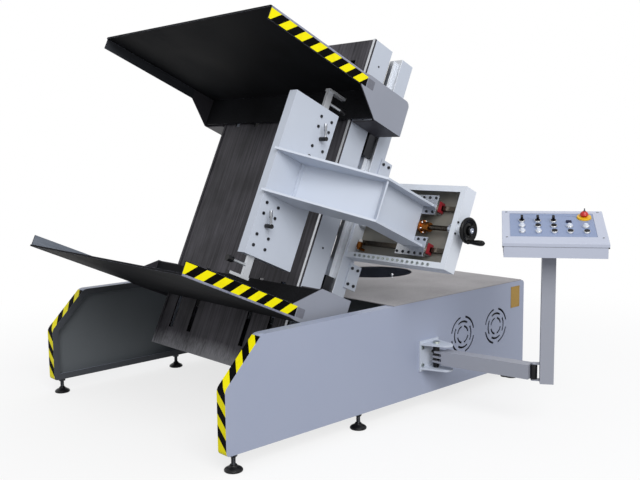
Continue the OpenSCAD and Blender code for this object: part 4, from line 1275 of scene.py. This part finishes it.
@dataclass(frozen=True)
class Jogger:
    """The jogging plate, its arm and carriages, and the screw drive in the rail box."""

    places: Places
    wall: float = 6.0
    boss: float = 14.0
    head: float = 4.0
    lead: float = 10.0
    journal: float = 24.0
    rail_z: float = 93.0
    seal_length: float = 11.0
    block_inset: float = 10.0
    rim_bead: float = 8.0
    hub_radius: float = 21.0
    hub_bore: float = 11.2
    pin_radius: float = 5.0
    bearing_inset: float = 50.0
    bearing_bore: float = 11.4
    knob_length: float = 28.5
    lever_boss: float = 19.0
    seal_size: tuple[float, float] = (46.0, 36.0)
    rail_half: float = 11.0
    carriage_screw_inset: float = 14.0
    carriage_screw_pitch: float = 33.0
    carriage_screw_row: float = 31.0
    nut_flange: float = 46.0
    nut_ring: float = 25.0
    boss_bolt: float = 24.0
    cup_inset: float = 38.0
    cup_foot: float = -132.0

    def span(self, name: str) -> tuple[Vector, Vector]:
        """Lowest and highest corner of one of the solids, in the mast's millimetres."""
        return self.places.extent(name, self.places.mast)

    @property
    def screw_y(self) -> float:
        """How far behind the mast's front the lead screw runs."""
        return self.places.axis_point("hand_screw_turn", self.places.mast).y

    @property
    def box_end(self) -> float:
        """Where the rail box's end wall stands, under the boss."""
        return self.span("rail_box")[1].x - self.boss

    def dress(self) -> None:
        """Gives the jogger's solids their finishes."""
        nodes, mast = self.places.nodes, self.places.mast
        skin = self.span("jog_plate")[1].x - self.head
        box_low, box_high = self.span("rail_box")
        back = box_high.y - self.wall

        def box_face(point: Vector, normal: Vector) -> int:
            """The inside of the back wall is bare galvanised sheet."""
            return int(abs(point.y - back) < 1 and box_low.x + self.wall < point.x < self.box_end - self.wall)

        dress_node(nodes["jog_arm"], [PALE_GREY], 1.2)
        dress_node(nodes["jog_plate"], [PALE_GREY, DARK_SCREW], 1.0,
                   lambda point, normal: int(point.x > skin + 0.3), mast)
        dress_node(nodes["jog_blocks"], [BLOCK_NICKEL], 1.0)
        dress_node(nodes["lead_nut"], [BRONZE], 0.8)
        dress_node(nodes["rail_box"], [BOX_WHITE, GALVANISED], 1.2, box_face, mast)
        for end in End:
            name = end.name.lower()
            dress_node(nodes[f"{name}_nozzle_bar"], [GROUND_STEEL, BLACK_PLASTIC], 0.8, self.knob_face(end),
                       mast)
            boss_top = self.span(f"{name}_clamp_lever")[0].z + self.lever_boss
            dress_node(nodes[f"{name}_clamp_lever"], [BLACK_PLASTIC, SCREW_STEEL], 1.2,
                       lambda point, normal, top=boss_top: int(point.z > top), mast)

    def knob_face(self, end: End) -> Chooser:
        """Picks the black knob at the end of a nozzle bar's stem.

        Args:
            end: which of the two bars.

        Returns:
            1 for a face of the knob and 0 for the rest.
        """
        low, high = self.span(f"{end.name.lower()}_nozzle_bar")
        if end is End.UPPER:
            return lambda point, normal: int(point.y > high.y - self.knob_length)
        return lambda point, normal: int(point.y < low.y + self.knob_length)

    def build_screw(self) -> None:
        """Rolls the lead screw's thread between two plain journals."""
        low, high = self.span("lead_screw")
        length = high.x - low.x
        turns = int((self.box_end - self.bearing_inset - low.x - self.journal) / self.lead)
        radius = (high.z - low.z) / 2 - 0.1
        thread = threaded(2 * radius + 0.2, self.lead, turns)
        near = self.journal + 4
        far = self.journal + (turns - 1) * self.lead
        inner = [(0, 0), (radius, 0), (radius, near - 2), (radius - 2, near), (0, near)]
        outer = [(0, far), (radius - 2, far), (radius, far + 2), (radius, length), (0, length)]
        spot = at(low.x, self.screw_y, 0, ALONG_X)
        screw = stamped((thread, 0, [at(low.x + self.journal, self.screw_y, 0, ALONG_X)]),
                        (turned(inner, 28), 0, [spot]), (turned(outer, 28), 0, [spot]))
        bmesh.ops.recalc_face_normals(screw, faces=screw.faces[:])
        piece = add_piece("lead_screw_thread", "hand_screw", screw, self.places.mast, [OILED_STEEL])
        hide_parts("lead_screw")

    def build_wheel(self) -> None:
        """Turns the dished handwheel with its round rim, hub, end screw and crank pin."""
        low, high = self.span("handwheel")
        bead = self.rim_bead - 0.5
        mid = (high.y - low.y) / 2 - self.rim_bead
        rim_x = 6
        start = low.x + self.rim_bead - rim_x
        hub, bore = self.hub_radius, self.hub_bore
        angles = [math.radians(-150 + 30 * number) for number in range(11)]
        rim = [(mid + bead * math.cos(a), rim_x + bead * math.sin(a)) for a in angles]
        dish = [(hub + 0.5, 0), (mid - 14, 2)] + rim + [(mid - 13, 7), (hub + 9, 5), (hub, 9)]
        cap = [(hub - 1, 23), (hub - 2, 24), (bore + 1, 24), (bore, 23.5), (bore, 0)]
        crank = self.places.axis_point("crank_spin", self.places.mast)
        reach, radius = high.x - start, self.pin_radius
        pin = [(0, 4), (radius, 4), (radius, reach - 1), (radius - 1, reach), (0, reach)]
        wheel = stamped((turned([(bore, 0)] + dish + cap, 56), 0, [at(start, self.screw_y, 0, ALONG_X)]),
                        (turned(pin, 24), 0, [at(start, crank.y, crank.z, ALONG_X)]),
                        (cap_screw(22, 3), 1, [at(start + 22, self.screw_y, 0, ALONG_X)]))
        piece = add_piece("dished_handwheel", "hand_screw", wheel, self.places.mast, [BLACK_GLOSS, CHROME])
        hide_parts("handwheel")

    def build_handle(self) -> None:
        """Turns the crank's loose handle: a collar, a waist, a swell for the palm and a domed end."""
        low, high = self.span("crank_handle")
        length, radius = high.x - low.x, (high.z - low.z) / 2
        bore = self.pin_radius + 0.2
        shape = [(0.72, 0.0), (0.8, 0.02), (0.8, 0.06), (0.66, 0.12), (0.7, 0.25), (0.86, 0.45), (0.98, 0.68),
                 (1.0, 0.78), (0.95, 0.88), (0.8, 0.96), (0.58, 1.0)]
        profile = [(bore, 0)] + [(radius * r, length * x) for r, x in shape] + [(bore, length), (bore, 0)]
        spot = at(low.x, (low.y + high.y) / 2, (low.z + high.z) / 2, ALONG_X)
        handle = stamped((turned(profile, 32), 0, [spot]))
        piece = add_piece("turned_crank_handle", "crank_handle", handle, self.places.mast, [BLACK_GLOSS],
                          smooth_deg=50.0)
        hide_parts("crank_handle")

    def build_seals(self) -> None:
        """Cuts the red seals that wipe the rails at both ends of the carriages."""
        low, high = self.span("jog_blocks")
        wide, tall = self.seal_size

        def draw_seal(bm: BMesh) -> None:
            """Cuts the rail's groove out of a sheet, gives it its thickness and rounds its edges."""
            bmesh.ops.create_grid(bm, x_segments=1, y_segments=2, size=0.5)
            bmesh.ops.scale(bm, vec=(wide, tall, 1), verts=bm.verts[:])
            for x in (-self.rail_half, self.rail_half):
                bmesh.ops.bisect_plane(bm, geom=bm.verts[:] + bm.edges[:] + bm.faces[:], dist=0.001,
                                       plane_co=(x, 0, 0), plane_no=(1, 0, 0))
            middles = {face: face.calc_center_median() for face in bm.faces}
            slot = [face for face, spot in middles.items() if abs(spot.x) < self.rail_half and spot.y > 0]
            bmesh.ops.delete(bm, geom=slot, context="FACES")
            bmesh.ops.recalc_face_normals(bm, faces=bm.faces[:])
            bmesh.ops.solidify(bm, geom=bm.faces[:], thickness=self.seal_length)
            edges = [edge for edge in bm.edges if edge.is_manifold and edge.calc_face_angle(0) > 1.0]
            bmesh.ops.bevel(bm, geom=edges, offset=1.5, offset_type="OFFSET", affect="EDGES", segments=2,
                            profile=0.5, material=-1)

        stand = Matrix(((0, 0, 1, 0), (0, 1, 0, 0), (-1, 0, 0, 0), (0, 0, 0, 1)))
        row = high.y - tall / 2 - 2
        ends = (high.x - self.block_inset + self.seal_length, low.x + self.block_inset)
        seals = stamped((draw_seal, 0, [Matrix.Translation((x, row, end.value * self.rail_z)) @ stand
                                        for x in ends for end in End]))
        bmesh.ops.recalc_face_normals(seals, faces=seals.faces[:])
        add_piece("carriage_seals", "jogger", seals, self.places.mast, [SEAL_RED])

    def build_screws(self) -> None:
        """Adds the screws of the carriage plates, the nut's flange and the end boss."""
        low, high = self.span("jog_blocks")
        columns = [high.x - self.carriage_screw_inset - self.carriage_screw_pitch * number
                   for number in range(5)]
        offsets = (-self.carriage_screw_row, self.carriage_screw_row)
        rows = [end.value * (self.rail_z + offset) for end in End for offset in offsets]
        spots = [at(x, low.y, z, AGAINST_Y) for x in columns for z in rows]
        dark = stamped((cap_screw(12, 3), 0, spots))
        add_piece("carriage_screws", "jogger", dark, self.places.mast, [DARK_SCREW])
        face = self.span("lead_nut")[0].x + self.nut_flange
        spots = [at(face, self.screw_y + y, z, ALONG_X) for y, z in ring(self.nut_ring, 6, 30)]
        bright = stamped((cap_screw(8, 6), 0, spots))
        add_piece("nut_screws", "jogger", bright, self.places.mast, [CHROME])
        offsets = (-self.boss_bolt, self.boss_bolt)
        spots = [at(self.box_end, self.screw_y + y, z, ALONG_X) for y in offsets for z in offsets]
        boss = stamped((cap_screw(9, 5), 0, spots))
        add_piece("boss_screws", "mast", boss, self.places.mast, [DARK_SCREW])

    def build_lubricator(self) -> None:
        """Turns the bronze oil cup with its white cap at the box's inner end."""
        box_low, box_high = self.span("rail_box")
        column, depth, foot = box_low.x + self.cup_inset, self.screw_y - 1, self.cup_foot
        spot = at(column, depth, foot)
        bowl = turned([(0, 0), (8, 0), (8, 6), (13, 8), (13, 30), (10, 34), (0, 34)], 24)
        cap = turned([(0, 33), (9, 33), (9, 40), (6.5, 46), (0, 48)], 24)
        reach, stem = box_high.y - self.wall - depth, 12
        holder = rounded_block((stem, reach, stem), 2.0)
        cup = stamped((bowl, 0, [spot]), (holder, 0, [at(column, depth + reach / 2, foot + stem / 2)]),
                      (cap, 1, [spot]))
        add_piece("oil_cup", "mast", cup, self.places.mast, [BRONZE, CAP_WHITE])

    def build_bearing(self) -> None:
        """Turns the screw's bright end bearing, inside the box's end wall."""
        bore = self.bearing_bore
        profile = [(bore, 0), (18, 0), (20, 2), (20, 12), (25, 12), (26, 13), (26, 26), (bore, 26), (bore, 0)]
        spot = at(self.box_end - self.bearing_inset, self.screw_y, 0, ALONG_X)
        bearing = stamped((turned(profile, 36), 0, [spot]))
        add_piece("end_bearing", "mast", bearing, self.places.mast, [CHROME])

    def build(self) -> None:
        """Builds and dresses the jogger and its drive."""
        self.dress()
        self.build_screw()
        self.build_wheel()
        self.build_handle()
        self.build_seals()
        self.build_screws()
        self.build_lubricator()
        self.build_bearing()


@dataclass(frozen=True)
class Console:
    """The operator's console: bracket, swing arm, post, sloped box, lid and controls."""

    places: Places
    arm_length: float = 461.0
    lid_screw_us: tuple[float, float] = (13.0, 387.0)
    lid_screw_vs: tuple[float, float] = (54.0, 294.0)
    recess_low: tuple[float, float] = (26.0, 62.0)
    recess_high: tuple[float, float] = (365.0, 282.0)
    film_zs: tuple[float, float] = (-2.0, -1.0)
    stop_at: tuple[float, float] = (328.0, 243.0)
    collar_radius: float = 31.0
    blank_at: tuple[float, float] = (264.0, 202.0)
    blank_half: tuple[float, float] = (12.0, 10.0)
    pin_radius: float = 17.0
    pin_half: float = 51.0
    pin_head: float = 60.5
    bolt_from: float = 8.5
    bolt_height: float = 7.5
    bolts_half: float = 50.0
    barrel_radius: float = 22.5
    barrel_length: float = 12.5
    bush_top: float = -31.5
    leaf_zs: tuple[float, float] = (-22.0, 0.0)
    leaf_half: float = 4.5
    seam: float = -13.8

    def dress(self) -> None:
        """Gives the console's solids their finishes."""
        nodes, arm, face, base = self.places.nodes, self.places.arm, self.places.face, self.places.base
        pin = self.places.base.inverted() @ self.places.arm.translation
        heads = self.places.extent("console_bracket", base)[0].x + self.bolt_from

        def bracket_face(point: Vector, normal: Vector) -> int:
            """The pivot pin is black, and its head and the four bolts are plated."""
            near_pin = math.hypot(point.x - pin.x, point.y - pin.y) < self.pin_radius
            if near_pin and point.z - pin.z > self.pin_head:
                return 2
            if near_pin and abs(point.z - pin.z) < self.pin_half:
                return 1
            bolts = heads < point.x < heads + self.bolt_height and abs(point.z - pin.z) < self.bolts_half
            return 2 if bolts else 0

        def arm_face(point: Vector, normal: Vector) -> int:
            """The two barrels and the bush under the tube are dark."""
            pivot = math.hypot(point.x, point.y) < self.barrel_radius
            leaf = min(abs(point.z - level) for level in self.leaf_zs) < self.leaf_half
            barrel = pivot and not leaf or point.x > self.arm_length - self.barrel_length
            return int(barrel or point.z < self.bush_top)

        def lid_face(point: Vector, normal: Vector) -> int:
            """The printed film lies in the recess."""
            across = self.recess_low[0] < point.x < self.recess_high[0]
            along = self.recess_low[1] < point.y < self.recess_high[1]
            return int(across and along and self.film_zs[0] < point.z < self.film_zs[1])

        def bezel_face(point: Vector, normal: Vector) -> int:
            """The stop's collar is yellow and the blanking plate navy."""
            if math.hypot(point.x - self.stop_at[0], point.y - self.stop_at[1]) < self.collar_radius:
                return 1
            off_u, off_v = abs(point.x - self.blank_at[0]), abs(point.y - self.blank_at[1])
            return 2 if off_u < self.blank_half[0] and off_v < self.blank_half[1] else 0

        dress_node(nodes["console_bracket"], [PALE_GREY, BLACK_PLASTIC, ZINC_BOLT], 1.0, bracket_face, base)
        dress_node(nodes["console_arm"], [STAND_GREY, BLACK_PLASTIC], 1.5, arm_face, arm)
        dress_node(nodes["console_post"], [STAND_GREY], 2.5)
        dress_node(nodes["console_box"], [CONSOLE_LILAC], 1.5)
        dress_node(nodes["console_lid"], [CONSOLE_LILAC, CONSOLE_BLUE], 2.0, lid_face, face)
        dress_node(nodes["control_bezels"], [BEZEL_CHROME, COLLAR_YELLOW, NAVY_PLASTIC], 0.6, bezel_face,
                   face)
        dress_node(nodes["pilot_lamps"], [LENS_WHITE], 1.2)
        for name in ("left", "mid", "right"):
            dress_node(nodes[f"selector_{name}"], [CONTROL_BLACK], 1.2)
        for letter in "abcde":
            dress_node(nodes[f"button_{letter}"], [CONTROL_BLACK], 1.5)
        dress_node(nodes["estop_button"], [STOP_RED], 1.2)

    def build_screws(self) -> None:
        """Sets the four screws of the lid."""
        spots = [at(u, v, 0) for v in self.lid_screw_vs for u in self.lid_screw_us]
        screws = stamped((cap_screw(9, 1.6), 0, spots))
        add_piece("lid_screws", "console", screws, self.places.face, [SCREW_STEEL])

    def build_gasket(self) -> None:
        """Cuts the dark gasket that shows as a line under the lid."""
        lid_low, lid_high = self.places.extent("console_lid", self.places.face)
        shy, proud, band, thick = 0.4, 0.6, 14.0, 4.0
        width, depth = lid_high.x - lid_low.x - 2 * shy, lid_high.y - lid_low.y + 2 * proud
        gasket = bmesh.new()
        bmesh.ops.create_grid(gasket, x_segments=1, y_segments=1, size=0.5)
        bmesh.ops.scale(gasket, vec=(width, depth, 1), verts=gasket.verts[:])
        hole = gasket.faces[:]
        bmesh.ops.inset_region(gasket, faces=hole, use_boundary=True, use_even_offset=True,
                               thickness=band)
        bmesh.ops.delete(gasket, geom=hole, context="FACES")
        bmesh.ops.solidify(gasket, geom=gasket.faces[:], thickness=thick)
        top = max(vert.co.z for vert in gasket.verts)
        spot = at((lid_low.x + lid_high.x) / 2, (lid_low.y + lid_high.y) / 2, self.seam - top)
        add_piece("lid_gasket", "console", gasket, self.places.face @ spot, [RUBBER_AND_GAP_SHADE_BLACK])

    def build_stop_tip(self) -> None:
        """Turns the small grey tip that stands on the stop button."""
        top = self.places.extent("estop_button", self.places.face)[1].z
        profile = [(0, -1), (5, -1), (5, 1), (3, 3), (2.2, 11), (1.2, 13), (0, 13.4)]
        tip = stamped((turned(profile, 20), 0, [at(*self.stop_at, top)]))
        add_piece("stop_tip", "estop_button", tip, self.places.face, [CASTING_GREY])

    def build(self) -> None:
        """Builds and dresses the console."""
        self.dress()
        self.build_screws()
        self.build_gasket()
        self.build_stop_tip()


@dataclass(frozen=True)
class Studio:
    """The pale floor, the soft light and the camera at the photograph's angle."""

    eye: tuple[float, float, float] = (2.7316, -2.6565, 1.2167)
    azimuth_deg: float = 47.21
    elevation_deg: float = 6.66
    roll_deg: float = -0.6
    lens_mm: float = 46.85
    sensor_mm: float = 36.0
    sight_m: float = 100.0
    floor_radius: float = 14.0
    floor_seen: str = "#f6f6f6"
    floor_bounce: str = "#909090"
    near_white: float = 0.75
    clear_from: float = 1.4
    clear_to: float = 3.6
    sky: float = 0.6
    sky_tint: tuple[float, float, float, float] = (0.97, 0.98, 1.0, 1.0)
    key_from: tuple[float, float, float] = (8.74, -4.56, 7.66)
    key_at: tuple[float, float, float] = (0.1, 0.0, 0.7)
    key_size: float = 8.0
    key_watts: float = 1040.0

    def set_camera(self) -> None:
        """Sets the camera from its fitted place and angles."""
        azimuth, elevation = math.radians(self.azimuth_deg), math.radians(self.elevation_deg)
        roll = math.radians(self.roll_deg)
        back = Vector((math.sin(azimuth) * math.cos(elevation), -math.cos(azimuth) * math.cos(elevation),
                       math.sin(elevation)))
        right = Vector((math.cos(azimuth), math.sin(azimuth), 0))
        up = back.cross(right)
        rolled_right = right * math.cos(roll) + up * math.sin(roll)
        rolled_up = up * math.cos(roll) - right * math.sin(roll)
        data = bpy.data.cameras.new("camera")
        data.lens = self.lens_mm
        data.sensor_width = self.sensor_mm
        data.clip_end = self.sight_m
        camera = bpy.data.objects.new("camera", data)
        turned_to = Matrix((rolled_right, rolled_up, back)).transposed().to_4x4()
        camera.matrix_world = Matrix.Translation(self.eye) @ turned_to
        bpy.context.scene.collection.objects.link(camera)
        bpy.context.scene.camera = camera

    def seen_rays(self, tree: Tree) -> tuple[Node, Node]:
        """Tells the rays that look at something from those that light it.

        Args:
            tree: the tree of the floor or the world.

        Returns:
            The light path, and a node that is 1 for camera, transmission and glossy rays.
        """
        path = add_node(tree, "ShaderNodeLightPath", {}, {})
        rays = {0: (path, "Is Camera Ray"), 1: (path, "Is Transmission Ray")}
        direct = add_node(tree, "ShaderNodeMath", {"operation": "MAXIMUM"}, rays)
        rays = {0: (direct, 0), 1: (path, "Is Glossy Ray")}
        return path, add_node(tree, "ShaderNodeMath", {"operation": "MAXIMUM"}, rays)

    def lay_floor(self) -> None:
        """Lays a white floor that keeps the shadow near the machine and clears to white further out."""
        bm = bmesh.new()
        bmesh.ops.create_circle(bm, cap_ends=True, cap_tris=False, segments=96, radius=self.floor_radius)
        mesh = bpy.data.meshes.new("floor")
        bm.to_mesh(mesh)
        bm.free()
        floor = bpy.data.objects.new("floor", mesh)
        bpy.context.scene.collection.objects.link(floor)
        material = bpy.data.materials.new("studio_floor")
        material.use_nodes = True
        tree = material.node_tree
        tree.nodes.clear()
        place = add_node(tree, "ShaderNodeTexCoord", {}, {})
        far = add_node(tree, "ShaderNodeVectorMath", {"operation": "LENGTH"}, {0: (place, "Object")})
        limits = {"Value": (far, "Value"), "From Min": self.clear_from, "From Max": self.clear_to,
                  "To Min": self.near_white}
        fade = add_node(tree, "ShaderNodeMapRange", {"interpolation_type": "SMOOTHSTEP"}, limits)
        path, seen = self.seen_rays(tree)
        factors = {0: (fade, "Result"), 1: (seen, 0)}
        share = add_node(tree, "ShaderNodeMath", {"operation": "MULTIPLY"}, factors)
        ends = {0: (path, "Is Camera Ray"), 6: linear(self.floor_bounce), 7: linear(self.floor_seen)}
        tint = add_node(tree, "ShaderNodeMix", {"data_type": "RGBA"}, ends)
        matt = add_node(tree, "ShaderNodeBsdfDiffuse", {}, {"Color": (tint, 2)})
        white = add_node(tree, "ShaderNodeEmission", {}, {"Color": (1, 1, 1, 1), "Strength": 1.0})
        mixed = add_node(tree, "ShaderNodeMixShader", {}, {0: (share, 0), 1: (matt, 0), 2: (white, 0)})
        add_node(tree, "ShaderNodeOutputMaterial", {}, {"Surface": (mixed, 0)})
        mesh.materials.append(material)

    def set_world(self) -> None:
        """Sets a white surround to look at and a softer one to light with."""
        world = bpy.data.worlds.new("studio")
        bpy.context.scene.world = world
        world.use_nodes = True
        tree = world.node_tree
        tree.nodes.clear()
        _, seen = self.seen_rays(tree)
        soft = add_node(tree, "ShaderNodeBackground", {}, {"Color": self.sky_tint, "Strength": self.sky})
        white = add_node(tree, "ShaderNodeBackground", {}, {"Color": (1, 1, 1, 1), "Strength": 1.0})
        mixed = add_node(tree, "ShaderNodeMixShader", {}, {0: (seen, 0), 1: (soft, 0), 2: (white, 0)})
        add_node(tree, "ShaderNodeOutputWorld", {}, {"Surface": (mixed, 0)})

    def hang_light(self) -> None:
        """Hangs one large soft box over the near side."""
        data = bpy.data.lights.new("key", "AREA")
        data.shape = "SQUARE"
        data.size = self.key_size
        data.energy = self.key_watts
        light = bpy.data.objects.new("key", data)
        light.location = self.key_from
        aim = Vector(self.key_at) - Vector(self.key_from)
        light.rotation_euler = aim.to_track_quat("-Z", "Y").to_euler()
        bpy.context.scene.collection.objects.link(light)

    def build(self) -> None:
        """Sets the camera, the floor, the world and the light."""
        bpy.context.scene.view_settings.view_transform = "Standard"
        self.set_camera()
        self.lay_floor()
        self.set_world()
        self.hang_light()


def main() -> None:
    """Builds the sub-assemblies round the frame and sets the studio."""
    logging.basicConfig(level=logging.INFO, format="%(name)s: %(message)s")
    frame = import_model()
    places = Places.read(frame)
    Studio().build()
    Base(places).build()
    TiltDrive(places).build()
    Mast(places).build()
    for end in End:
        Platform(places, end).build()
    Jogger(places).build()
    Console(places).build()


if __name__ == "__main__":
    main()
